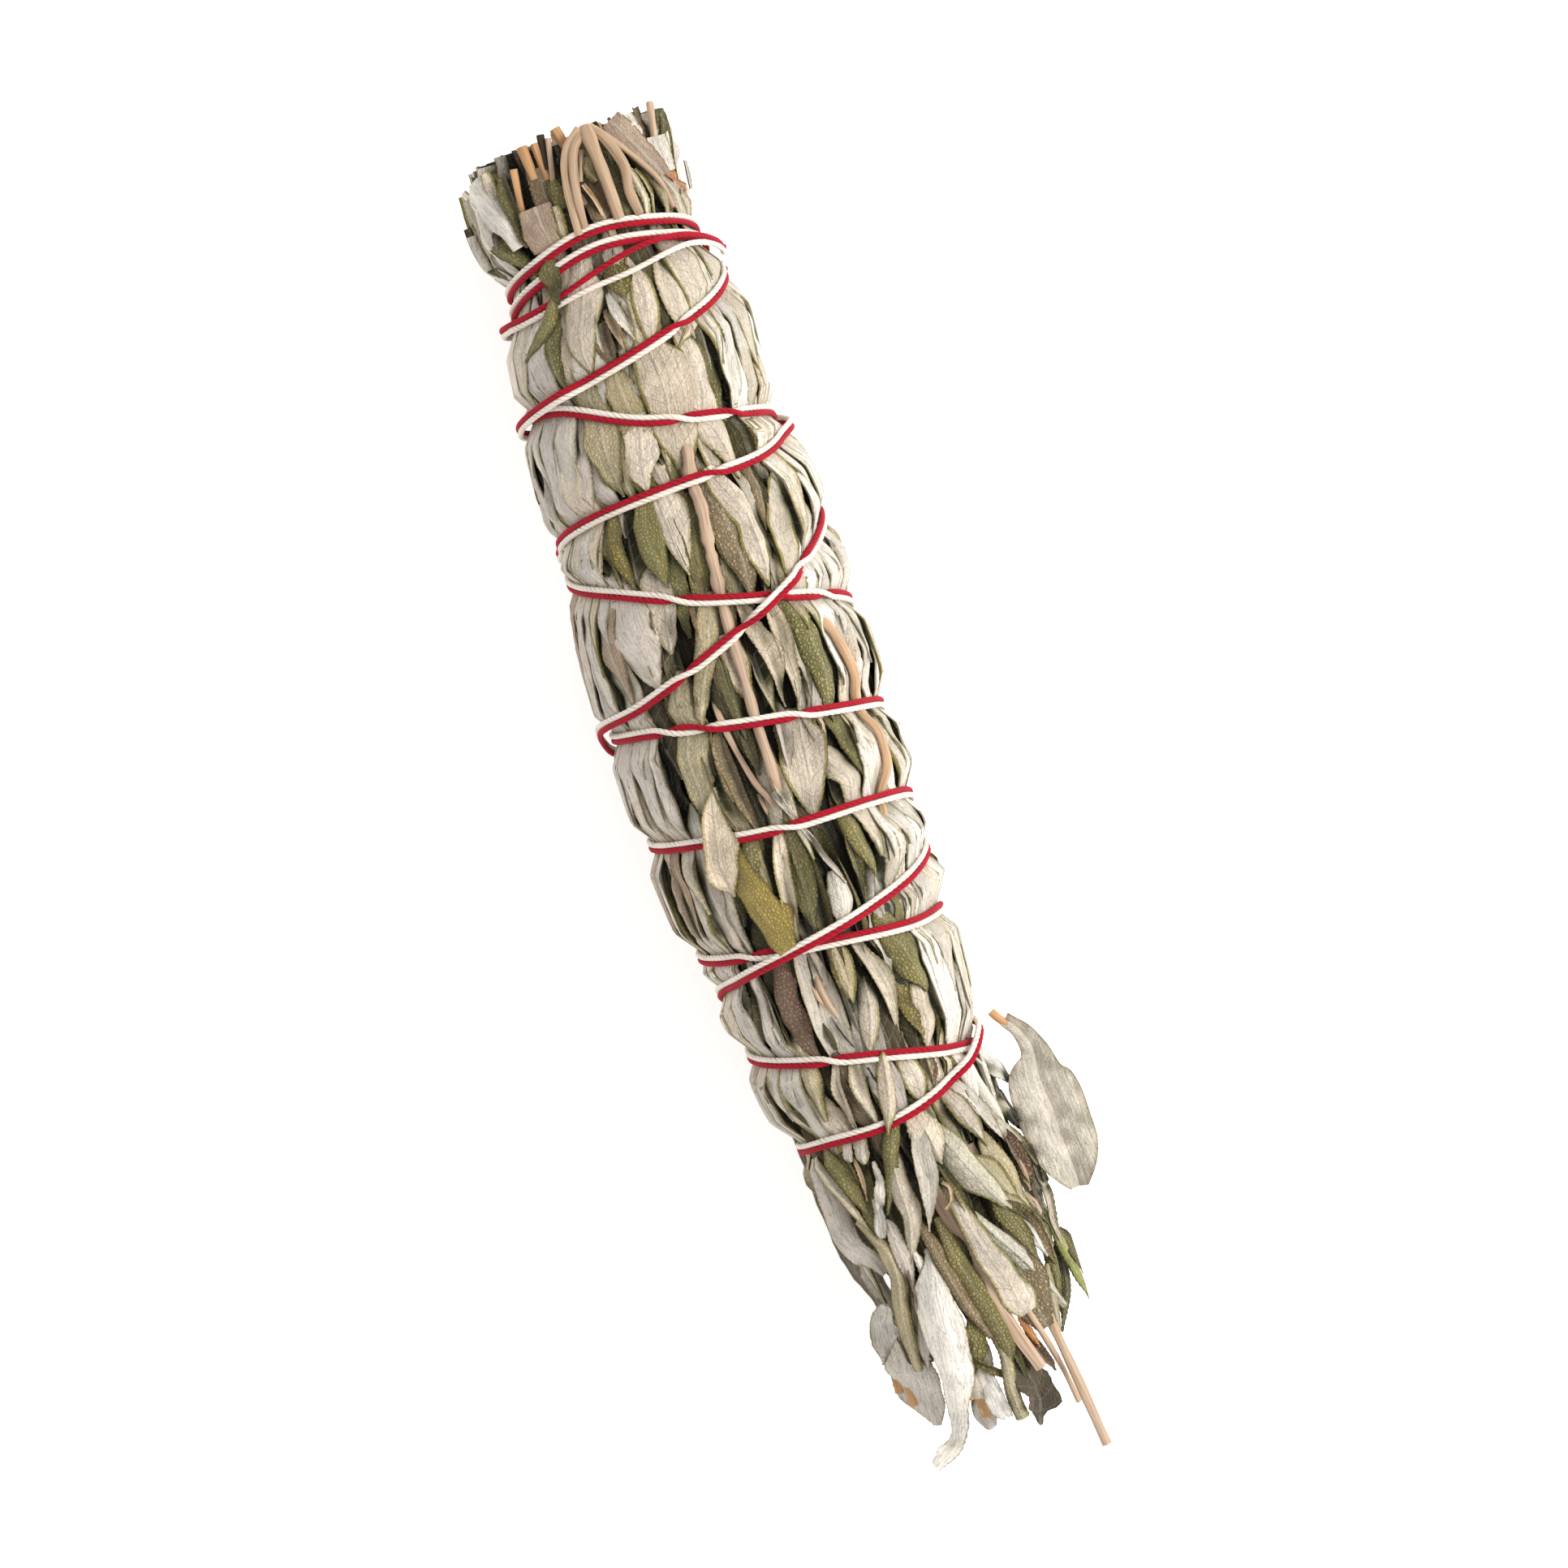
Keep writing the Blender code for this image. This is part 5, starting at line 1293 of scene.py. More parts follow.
# Leaves chopped off at the cut end, from their cut edge into the bundle.
SQUARE = ((0, 0.95), (0.5, 1), (1, 0.95))
FLARED = ((0, 0.75), (0.25, 1), (1, 0.7))
BUTT_LEAVES = (
    ("olive", "flat", 2.6, FLARED, (8.4, -1.2, 1.4), (13.2, -1.7, 1.0)),
    ("sage", "flat", 2.4, FLARED, (12.4, -2.4, 0.9), (17.8, -2.8, 0.8)),
    ("umber", "flat", 4.0, SQUARE, (5.6, -2.6, 1.8), (12.4, -3.2, 1.4)),
    ("taupe", "flat", 6.2, SQUARE, (11.4, -5.4, 0.5), (14.8, -5.4, 0.0), (18.6, -5.2, 0.7)),
    ("moss", "fold", 3.4, FLARED, (4.8, -8.6, 1.6), (10, -8.4, 1.2), (16.8, -8.0, 1.4)),
    ("olive", "down", 4.6, FLARED, (9.2, -15.6, 1.0), (15.8, -12.9, 0.1), (21.8, -9.6, 0.8)),
    (
        "silver", "left", 3.8, FLARED,
        (11.2, -16.8, 0.6), (15.6, -17.4, -0.2), (19.4, -15.8, 0.0), (22.6, -13.4, 0.8),
    ),
    ("moss", "fold", 3.0, FLARED, (9.6, -16.4, 2.2), (15, -16, 1.6), (20, -14, 1.6)),
    ("greige", "down", 2.6, FLARED, (3.2, -11.4, 0.8), (6, -11.3, 0.1), (9.6, -10.8, 0.4)),
    ("silver", "down", 2.6, FLARED, (4.4, -15.6, 1.0), (7, -14.6, 0.4), (10.6, -13.0, 0.4)),
    (
        "cream", "down", 6.6, FLARED,
        (4.0, -13.9, 0.2), (8.0, -12.3, -0.9), (12.2, -10.7, -0.6), (16.4, -9.4, 0.8),
    ),
    ("taupe", "flat", 4.2, FLARED, (2.4, 10.7, 0.6), (6.1, 12.6, 0.0), (11.8, 15.2, 0.1), (17, 17.4, 0.8)),
    ("silver", "flat", 3.0, SQUARE, (2.3, 12.8, 0.4), (4.4, 13.2, 0.0), (6.6, 14.4, 0.3)),
    ("umber", "fold", 1.7, SQUARE, (1.5, 15.2, 0.6), (5, 15, 0.1), (8.8, 14.5, 0.4)),
    ("silver", "flat", 4.6, SQUARE, (6.8, 16.9, 0.4), (9.6, 17.0, 0.0), (12.8, 16.8, 0.3)),
    ("moss", "crumple", 1.6, FLARED, (3.0, 19.3, 0.4), (5, 18.8, 0.2), (7.2, 18.4, 0.6)),
    ("rust", "crumple", 2.8, FLARED, (11.2, 16.0, 0.7), (13.4, 17.2, 0.1), (15.8, 18.6, 0.5)),
    ("lilac", "fold", 1.9, FLARED, (11.6, 19.8, 0.4), (13.8, 19.6, 0.1), (16.2, 19.2, 0.6)),
    ("umber", "flat", 4.6, FLARED, (3.0, 3.6, 2.6), (10, 4.2, 2.0), (17.4, 4.6, 1.0)),
    ("straw", "fold", 2.6, FLARED, (10.8, 3.2, 1.4), (13.4, 4.0, 0.9), (17.2, 4.9, 0.9)),
    ("sage", "crumple", 2.2, FLARED, (6.8, 5.0, 1.2), (9, 4.8, 0.8), (11, 5.4, 1.0)),
    ("moss", "flat", 4.4, FLARED, (5.2, 9.0, 2.4), (11, 8.6, 1.8), (17.6, 8.4, 1.2)),
    ("greige", "down", 2.2, FLARED, (8.8, 10.4, 1.0), (13.4, 11.4, 0.4), (19, 11.9, 0.8)),
    ("greige", "fold", 1.5, FLARED, (11, 11.8, 1.0), (14.8, 12.9, 0.4), (19.4, 13.3, 0.8)),
    ("sage", "down", 2.4, FLARED, (8.4, 12.6, 1.0), (14, 14.8, 0.5), (19.8, 15.4, 0.8)),
    ("greige", "down", 3.3, FLARED, (12.2, 15.0, 0.8), (17.5, 17.1, -0.1), (22.6, 19.0, 0.6)),
)
BUTT_RISE = 0.6


def butt_radius(x):
    """The radius that the leaves on top of the cut end keep to, a little over the outline."""
    return radius_at(x) + BUTT_RISE


for colour, style, width, profile, *line in BUTT_LEAVES:
    spots = rounded(line, butt_radius)
    free_leaf(spots, width, style, colour, step=0.4, seen=True, upward=0.5, pressed=True, profile=profile)

# The big silver leaf that stands out sideways past the last turns, and a torn white curl by it.
SILVER_LINE = (
    (159.8, 20.6, 22.6),
    (162.7, 22.5, 23.2),
    (166.6, 23.3, 23.8),
    (170.4, 22.6, 24.0),
    (176.0, 22.8, 24.0),
    (181.0, 22.7, 23.8),
    (185.4, 22.8, 23.4),
    (189.4, 22.6, 22.8),
)
SILVER_PROFILE = (
    (0, 0.24), (0.143, 0.3), (0.286, 0.46), (0.43, 0.88), (0.57, 1), (0.71, 0.96), (0.86, 0.78), (1, 0.3),
)
free_leaf(
    SILVER_LINE,
    12.4,
    "flat",
    "mottled",
    step=0.4,
    columns=15,
    seen=True,
    upward=1.0,
    profile=SILVER_PROFILE,
    fold=0.8,
    left=-1.3,
    right=-1.0,
    teeth=0.0,
    rib=0.0,
    pleats=0.05,
    crumple=0.34,
    shade=0.97,
    ragged=0.15,
    open=True,
)
free_leaf(
    ((161.4, 14.2, 27.5), (165.5, 16.7, 26.5), (169.4, 18.2, 24.5)),
    3.4,
    "crumple",
    "cream",
    step=0.3,
    columns=11,
    seen=True,
    upward=0.5,
    profile=TORN,
)

leaf_tops = support.copy()

# Leaves that lie over the twine, so they are laid on it.
for course in (red_course, white_course):
    x, angle, radius = measured(course)
    for shift in (-0.4, 0.0, 0.4):
        raise_map(x + shift, angle, radius + STRAND_RADIUS)
OVER_LEAVES = (
    ("moss", "crumple", 3.8, None, (19.6, -5.8), (23.5, -6.4), (27.4, -7)),
    ("olive", "down", 3.8, None, (26, -7.2), (30, -10.5), (34, -15.6)),
    (
        "mustard", "flat", 6.2, ((0, 0.5), (0.2, 0.85), (0.5, 1), (0.85, 0.95), (1, 0.6)),
        (117.6, -12.2), (128, -10.6), (137.0, -8.4),
    ),
    (
        "greige", "left", 6.0, ((0, 0.15), (0.35, 0.8), (0.7, 1), (1, 0.1)),
        (108.4, -10.6), (118, -13.4), (126, -13.4),
    ),
    ("greige", "down", 3.9, None, (157.4, 0.2), (165, -1.5), (170.2, -3.6)),
)
for colour, style, width, profile, *line in OVER_LEAVES:
    lay_leaf(line, width, style, colour, step=0.32, columns=9, seen=True, over=True, profile=profile)

# More leaves in the middle of both ends, seen only from there.
INNER_TIP_RINGS = ((0.08, 3), (0.26, 8), (0.46, 12), (0.64, 14))
INNER_CUT_RINGS = ((0.12, 4), (0.4, 12), (0.6, 16), (0.76, 20))
for share, count in INNER_TIP_RINGS:
    ring_of_tips(share, count)
for share, count in INNER_CUT_RINGS:
    ring_of_cut_leaves(share, count)


# The leaves' surface
# Felted on both sides, pebbled above and ribbed below. One sprig's leaves all grow on its stem, so they are
# one piece, and each leaf is darkened with painted shade where it lies deep under the others.


def leaf_material():
    """Dried sage leaf: matt, with a felt of fine hairs that lightens it at a glance and hides all gloss.

    The upper side is pebbled by a net of sunk veins 0.8 mm wide; the underside has a raised rib and side
    veins 2.4 mm apart. Real hairs are 0.05 mm thick, so the felt's noise is drawn at 0.3 mm to show at all.
    """
    made, tree, shader = fresh_material(
        "dried_sage_leaf",
        {
            "Roughness": 0.86,
            "IOR": 1.45,
            "Specular IOR Level": 0.25,
            "Sheen Weight": 0.1,
            "Sheen Roughness": 0.6,
        },
    )
    names = ("tint", "blade", "kind", "rim")
    tint, own, kind, rim = (add_node(tree, "Attribute", (), "Vector", attribute_name=name) for name in names)
    pebbled, veined, browned = add_node(tree, "SeparateXYZ", (kind,)).node.outputs
    from_margin, greened, _ = add_node(tree, "SeparateXYZ", (rim,)).node.outputs
    along, sideways, _ = add_node(tree, "SeparateXYZ", (own,)).node.outputs
    aside = add_node(tree, "Math", (sideways,), operation="ABSOLUTE")
    felt = add_node(tree, "TexNoise", {"Vector": own, "Scale": 2.2, "Detail": 4.0})
    stretch = add_node(tree, "Mapping", {"Vector": own, "Scale": (0.16, 0.5, 1.0)})
    patch = add_node(tree, "TexNoise", {"Vector": stretch, "Scale": 1.0, "Detail": 4.0, "Roughness": 0.6})
    creases = add_node(tree, "Mapping", {"Vector": own, "Scale": (0.16, 1.9, 1.0)})
    wrinkle = add_node(tree, "TexNoise", {"Vector": creases, "Scale": 1.0, "Detail": 3.0})
    off_line = add_node(tree, "Math", (wrinkle, 0.5), operation="SUBTRACT")
    off_line = add_node(tree, "Math", (off_line,), operation="ABSOLUTE")
    crease = add_node(tree, "MapRange", (off_line, 0.0, 0.022, 1.0, 0.0))
    cells = add_node(tree, "Mapping", {"Vector": own, "Scale": (1.5, 1.9, 1.0)})
    net = add_node(tree, "TexVoronoi", {"Vector": cells, "Scale": 1.0}, feature="DISTANCE_TO_EDGE")
    pebble = add_node(tree, "MapRange", (net, 0.02, 0.32), interpolation_type="SMOOTHSTEP")
    slant = add_node(tree, "Math", (aside, 0.85, along), operation="MULTIPLY_ADD")
    saw = add_node(tree, "Math", (slant, 1.2), operation="PINGPONG")
    side_vein = add_node(tree, "MapRange", (saw, 0.0, 0.2, 1.0, 0.0))
    rib = add_node(tree, "MapRange", (aside, 0.1, 0.38, 1.0, 0.0))
    vein = add_node(tree, "Math", (side_vein, 0.7, rib), operation="MULTIPLY_ADD")
    vein = add_node(tree, "Math", (vein, veined), operation="MULTIPLY")
    # Colour: patches of tone, brown where the leaf has aged, painted shade in the sunk net, paler veins.
    tone = add_node(tree, "MapRange", (patch, 0.3, 0.7, 0.86, 1.1))
    fleck = add_node(tree, "MapRange", (felt, 0.3, 0.7, 0.87, 1.08))
    tone = add_node(tree, "Math", (tone, fleck), operation="MULTIPLY")
    colour = add_node(tree, "VectorMath", {0: tint, "Scale": tone}, operation="SCALE")
    old = add_node(tree, "MapRange", (wrinkle, 0.52, 0.72, 0.0, 1.0))
    old = add_node(tree, "Math", (old, browned), operation="MULTIPLY")
    colour = add_node(tree, "MixRGB", (old, colour, (*linear("#8A7654"), 1.0)))
    # Painted shade in the hollows of the sunk net.
    sunk = add_node(tree, "Math", (1.0, pebble), operation="SUBTRACT")
    sunk = add_node(tree, "Math", (sunk, pebbled), operation="MULTIPLY")
    sunk = add_node(tree, "Math", (sunk, 0.75), operation="MULTIPLY")
    colour = add_node(tree, "MixRGB", (sunk, colour, (*linear("#45452C"), 1.0)))
    pale = add_node(tree, "Math", (vein, 0.42), operation="MULTIPLY")
    colour = add_node(tree, "MixRGB", (pale, colour, (*linear("#D9D2BF"), 1.0)))
    # Thin dark lines along the creases the drying left: painted shade in them.
    dry = add_node(tree, "Math", (crease, 0.26), operation="MULTIPLY")
    crease_shade = add_node(tree, "VectorMath", (colour, (0.4, 0.36, 0.28)), operation="MULTIPLY")
    colour = add_node(tree, "MixRGB", (dry, colour, crease_shade))
    # The rim, nearly half a millimetre wide and uneven, where the green upper side curls over.
    uneven = add_node(tree, "Math", (patch, 0.7, from_margin), operation="MULTIPLY_ADD")
    at_rim = add_node(tree, "MapRange", (uneven, 0.82, 1.02, 1.0, 0.0))
    at_rim = add_node(tree, "Math", (at_rim, greened), operation="MULTIPLY", use_clamp=True)
    green = add_node(tree, "VectorMath", (colour, (0.47, 0.48, 0.2)), operation="MULTIPLY")
    colour = add_node(tree, "MixRGB", (at_rim, colour, green))
    # The very edge, a quarter of a millimetre wide and broken, darkened: a painted shadow along the margin.
    ragged = add_node(tree, "Math", (felt, 0.5, from_margin), operation="MULTIPLY_ADD")
    at_edge = add_node(tree, "MapRange", (ragged, 0.3, 0.52, 0.75, 0.0))
    edge_shadow = add_node(tree, "VectorMath", (colour, (0.3, 0.27, 0.2)), operation="MULTIPLY")
    colour = add_node(tree, "MixRGB", (at_edge, colour, edge_shadow))
    tree.links.new(colour, shader.inputs["Base Color"])
    # Relief, in millimetres: felt, wrinkles along the leaf, pebbles, creases and veins.
    relief = add_node(tree, "Math", (felt, 0.14), operation="MULTIPLY")
    relief = add_node(tree, "Math", (wrinkle, 0.1, relief), operation="MULTIPLY_ADD")
    raised = add_node(tree, "Math", (pebble, pebbled), operation="MULTIPLY")
    relief = add_node(tree, "Math", (raised, 0.24, relief), operation="MULTIPLY_ADD")
    relief = add_node(tree, "Math", (crease, -0.07, relief), operation="MULTIPLY_ADD")
    relief = add_node(tree, "Math", (vein, 0.2, relief), operation="MULTIPLY_ADD")
    bump = add_node(tree, "Bump", {"Height": relief, "Distance": MM, "Strength": 1.0})
    tree.links.new(bump, shader.inputs["Normal"])
    return made


dried_leaf = leaf_material()


MAP_WRAP = 24
NEAR_REACH, FAR_REACH = 4, 40
# How deep a place lies when it gets half of the light, between the turns of twine and past them.
HALVING_DEPTH = ((165, 182), (0.56, 0.8))
# Where along the bundle its inside is shut off from the light: not at all at 0, wholly at 1.
SHUT_OFF = ((7, 14, 168, 188), (0, 1, 1, 0))


def level_around(field, passes):
    """The map averaged along and round the bundle, with its seam wrapped over."""
    wide = np.concatenate([field[:, -MAP_WRAP:], field, field[:, :MAP_WRAP]], axis=1)
    return evened(evened(wide, passes), passes, axis=1)[:, MAP_WRAP:-MAP_WRAP]


near_level = level_around(leaf_tops, NEAR_REACH)
far_level = level_around(leaf_tops, FAR_REACH)


def with_painted_shade(part):
    """A leaf with painted shade: its colour darkens where it lies deep under the leaves round it, where no
    light gets in.

    The colour is divided by (1 + (near / halving)^2.6) (1 + far^2 / 2), with its depths in millimetres under
    the leaves' level averaged over a small and over a wide patch. Blue goes first, so the depths are olive.
    There is more light between the free leaves, and inside the bundle's two open ends.
    """
    if part.get("open"):
        return part
    x, angle, radius = measured(part["points"])
    near, far = (np.maximum(read_map(level, x, angle) - radius, 0) for level in (near_level, far_level))
    dimming = (1 + (near / np.interp(x, *HALVING_DEPTH)) ** 2.6) * (1 + 0.5 * far**2)
    dimming **= 1 - np.clip(near - 2, 0, 1) * (1 - np.interp(x, *SHUT_OFF))
    return part | {"tint": part["tint"] / dimming[:, None] ** np.array((1.0, 0.96, 1.22))}


# Edges sharper than this stay sharp.
LEAF_EDGE_ANGLE = math.radians(55)
for sprig in range(SPRIGS):
    leaf_parts = [with_painted_shade(part) for part in sprig_parts[sprig]]
    piece = make_piece(f"leafy_sprig_{sprig + 1}", leaf_parts, dried_leaf, LEAF_EDGE_ANGLE)
    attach(piece, "root")
    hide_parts(f"sprig_{sprig + 1}")


# Stalks
# Dry woody stems, tan and ridged along, sawn off at the cut end so that their pale pith shows. One runs
# inside each sprig, a forked one lies folded over the cut end, and two bare ones stick out of the leaves.

STALK_RADIUS = 1.9
STALK_DEPTH_SHARE = 0.54
STALK_INNER_END = 172.0
CAD_CORE_DEPTH = 2.3
FORK = (
    ((2.4, 6.6, 0.3), (5.0, 6.7, 1.5), (11.0, 6.9, 1.4), (17.6, 6.8, 0.0)),
    ((2.6, 6.3, 0.3), (4.8, 3.9, 1.5), (8.0, 2.6, 1.5), (12.5, 1.6, 1.1), (17.2, 1.1, -0.2)),
    ((2.4, 5.6, 0.2), (4.6, 2.8, 1.2), (8.0, 1.2, 1.0), (12.5, 0.4, 0.8), (18.0, -0.1, -0.3)),
    ((2.6, 7.2, 0.3), (5.0, 9.0, 1.4), (10.0, 10.4, 1.1), (14.0, 9.8, 0.7), (18.0, 10.1, -0.3)),
    ((2.8, 8.0, 0.3), (7.0, 11.0, 1.0), (11.0, 13.5, 0.9), (14.5, 15.1, 0.6), (18.4, 15.6, -0.2)),
)
FORK_RADII = (1.15, 0.85, 0.8, 0.95, 0.5)
TIP_STALKS = (
    ((176.5, 7.8, 10.2), (190, 9.3, 10.6), (206, 10.4, 9.4), (218, 11.4, 8.4), (229.6, 12.2, 7.4)),
    ((177, -0.4, 12.0), (187, 1.0, 13.6), (200, 3.3, 14.6), (206.2, 4.4, 14.4), (213.8, 6.5, 13.6)),
)
TIP_STALK_RADII = (0.95, 1.15)


STALK_STEP = 1.6
THIN_TWIG_STEP, THIN_TWIG_BRIDGE, THIN_TWIG_DIVE = 1.5, 2.5, (3.4, 2.0)
# Edges sharper than this stay sharp.
STALK_EDGE_ANGLE = math.radians(50)


def run_along(points):
    """How far along its line each point lies."""
    return np.concatenate([[0], np.cumsum(np.linalg.norm(np.diff(points, axis=0), axis=1))])


def rings_round(line, radius, angle, side, upward):
    """Rings of points round each place of a line: place + r cos a side + r sin a upward."""
    aside, above = (radius * np.cos(angle))[..., None], (radius * np.sin(angle))[..., None]
    return line[:, None] + aside * side[:, None] + above * upward[:, None]


def stalk_part(line, thick, sides=12, rows=None, taper=0.85, knobs=0.05, tint=(1.0, 1.0, 1.0)):
    """A stalk along a smooth line: a round profile with ridges, carried along it, with sawn ends.

    radius = r (1 + 0.05 cos 4a + 0.03 cos 7a + knobs), thinning evenly, where a is the angle in the profile.
    """
    rows = rows or max(6, int(run_along(np.array(line, float))[-1] / STALK_STEP))
    spots = smooth_line(line, rows)
    forward = unit(np.gradient(spots, axis=0))
    upward = square_to(forward, STRAIGHT_UP)
    side = np.cross(upward, forward)
    a = 2 * math.pi * np.arange(sides) / sides
    phase = rng.uniform(0, 6)
    ridge = 1 + 0.05 * np.cos(4 * a + phase) + 0.03 * np.cos(7 * a)
    swell = evened(rng.normal(size=rows), 2) * knobs * 2
    radius = thick * np.linspace(1, taper, rows)[:, None] * (1 + swell)[:, None] * ridge
    rings = rings_round(spots, radius, a, side, upward)
    along = run_along(spots)[:, None]
    own = np.stack([along + 0 * a, thick * a + 0 * along, 0 * a + 0 * along], axis=-1).reshape(-1, 3)
    index, after, walls = tube_faces(rows, sides)
    # The sawn ends: a ring just inside the rim and a middle point, marked as cut wood.
    cuts, faces = [], [walls[:, ::-1]]
    for end, outward, base in ((0, -forward[0], index.size), (-1, forward[-1], index.size + sides + 1)):
        centre = spots[end]
        inside = centre + (rings[end] - centre) * 0.9 + 0.06 * thick * outward
        cuts += [inside, [centre + 0.03 * thick * outward]]
        inner = base + np.arange(sides)
        rim = np.stack([index[end], inner, np.roll(inner, -1), after[end]], axis=-1)
        fan = np.stack([inner, np.full(sides, base + sides), np.roll(inner, -1)], axis=-1)
        faces += [rim, fan] if end == 0 else [rim[:, ::-1], fan[:, ::-1]]
    cut = np.concatenate(cuts)
    cut_own = np.column_stack([0 * cut[:, 0], np.linalg.norm(cut - cut.mean(axis=0), axis=1), 0 * cut[:, 0]])
    kind = np.zeros((len(own) + len(cut), 3))
    kind[len(own) :, 0] = 1.0
    return {
        "points": np.concatenate([rings.reshape(-1, 3), cut]),
        "faces": faces,
        "tint": np.array(tint) * rng.uniform(0.85, 1.08),
        "blade": np.concatenate([own + (rng.uniform(0, 50), 0, 0), cut_own]),
        "kind": kind,
    }


def stalk_material():
    """Dry sage stalk: tan and matt, with grey-brown streaks 0.4 mm wide along it, and paler sawn ends."""
    made, tree, shader = fresh_material(
        "dry_sage_stalk", {"Roughness": 0.8, "IOR": 1.45, "Specular IOR Level": 0.35}
    )
    names = ("tint", "blade", "kind")
    tint, own, kind = (add_node(tree, "Attribute", (), "Vector", attribute_name=name) for name in names)
    cut = add_node(tree, "SeparateXYZ", (kind,))
    long_way = add_node(tree, "Mapping", {"Vector": own, "Scale": (0.12, 2.4, 1.0)})
    streak = add_node(tree, "TexNoise", {"Vector": long_way, "Scale": 1.0, "Detail": 4.0})
    blotch_at = add_node(tree, "Mapping", {"Vector": own, "Scale": (0.3, 0.4, 1.0)})
    blotch = add_node(tree, "TexNoise", {"Vector": blotch_at, "Scale": 1.0, "Detail": 3.0})
    dark_share = add_node(tree, "MapRange", (streak, 0.45, 0.75, 0.0, 0.8))
    colour = add_node(tree, "MixRGB", (dark_share, (*linear("#D3B79D"), 1.0), (*linear("#957760"), 1.0)))
    grey_share = add_node(tree, "MapRange", (blotch, 0.5, 0.8, 0.0, 0.7))
    colour = add_node(tree, "MixRGB", (grey_share, colour, (*linear("#BEB09C"), 1.0)))
    colour = add_node(tree, "MixRGB", (cut, colour, (*linear("#C4A67E"), 1.0)))
    colour = add_node(tree, "VectorMath", (colour, tint), operation="MULTIPLY")
    tree.links.new(colour, shader.inputs["Base Color"])
    bump = add_node(tree, "Bump", {"Height": streak, "Distance": 0.25 * MM, "Strength": 0.8})
    tree.links.new(bump, shader.inputs["Normal"])
    return made


dry_stalk = stalk_material()


def stalk_piece(name, parts, *replaced):
    """A piece of dry stalk on the bundle, in place of the named nodes if there are any."""
    piece = make_piece(name, parts, dry_stalk, STALK_EDGE_ANGLE)
    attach(piece, "root")
    if replaced:
        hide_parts(*replaced)


def on_top(line):
    """Points of (distance along, sideways, height over the outline) as places on the bundle's upper side."""
    x, aside, rise = np.array(line, float).T
    raised = radius_at(x) + rise
    return np.column_stack([x, aside, CENTRE_HEIGHT + np.sqrt(raised**2 - (aside - centre_at(x)) ** 2)])


def seen_on_leaves(line, thick):
    """A twig's points from (distance along, sideways) as seen, resting on the leaves and under the twine."""
    x, aside = smooth_line(line, rows_along(line, THIN_TWIG_STEP, 8)).T
    radius = radius_at(x)
    for _ in range(3):
        angle = seen_angle(x, aside, levelled(x, radius))
        under = bridged(read_map(support, x, angle), x, THIN_TWIG_BRIDGE)
        radius = np.minimum(under + 0.5 * thick, read_map(ceiling, x, angle) - 0.6 * thick)
    radius = dived(x, radius, *THIN_TWIG_DIVE)
    raise_map(x, angle, radius + thick)
    return around(x, angle, radius)


for number in range(1, SPRIGS + 1):
    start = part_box(f"stalk_{number}")[0][0] / MM + BUNDLE_ORIGIN[0] + 0.3
    x = np.array([start, 60, 116, STALK_INNER_END])
    middle = (seam(number - 1, x) + seam(number, x)) / 2
    line = around(x, middle, (radius_at(x) - CAD_CORE_DEPTH) * STALK_DEPTH_SHARE)
    part = stalk_part(line, STALK_RADIUS, sides=16, taper=0.8)
    stalk_piece(f"woody_stalk_{number}", [part], f"stalk_{number}")

FORK_TINT = (0.84, 0.82, 0.76)
fork_parts = [
    stalk_part(on_top(line), thick, rows=22, tint=FORK_TINT) for line, thick in zip(FORK, FORK_RADII)
]
stalk_piece("folded_fork", fork_parts, "forked_stalk")

for number, (line, thick) in enumerate(zip(TIP_STALKS, TIP_STALK_RADII), 1):
    line = [(x, y, CENTRE_HEIGHT + rise) for x, y, rise in line]
    stalk_piece(f"bare_stalk_{number}", [stalk_part(line, thick, knobs=0.08)], f"tip_stalk_{number}")

# Thin twigs and leaf stalks that show between the leaves, and stubs of side stems at the cut end.
TWIGS = (
    (0.6, (94.7, -6.1), (99.7, -5.7), (104.3, -5.3), (110, -4.2), (113.9, -2.6), (118.4, -2.5)),
    (0.4, (109, -4.4), (113, -4.2), (118, -3.4)),
    (0.5, (139.7, -6), (147, -5.4), (153.5, -3.8)),
    (0.4, (141, -7.2), (146, -6.6), (150, -5.2)),
    (0.45, (8.4, 1.4), (12.3, 2.3), (17.6, 3.6)),
    (0.5, (30.6, 1.6), (34, 3.4), (37.6, 5)),
    (0.45, (100, 8.6), (104, 9.4), (109, 9.2)),
    (0.4, (186, 19), (190, 18.6), (194.4, 17.6)),
)
twig_parts = [stalk_part(seen_on_leaves(line, thick), thick, sides=8) for thick, *line in TWIGS]
for thick, tint, line in bare_twigs:
    twig_parts.append(stalk_part(line, thick, sides=12, rows=len(line), knobs=0.1, tint=tint))
# Stubs and pieces at both ends: radius, tint, and points of (distance along, sideways, depth under the top).
ORANGE = (0.88, 0.7, 0.47)
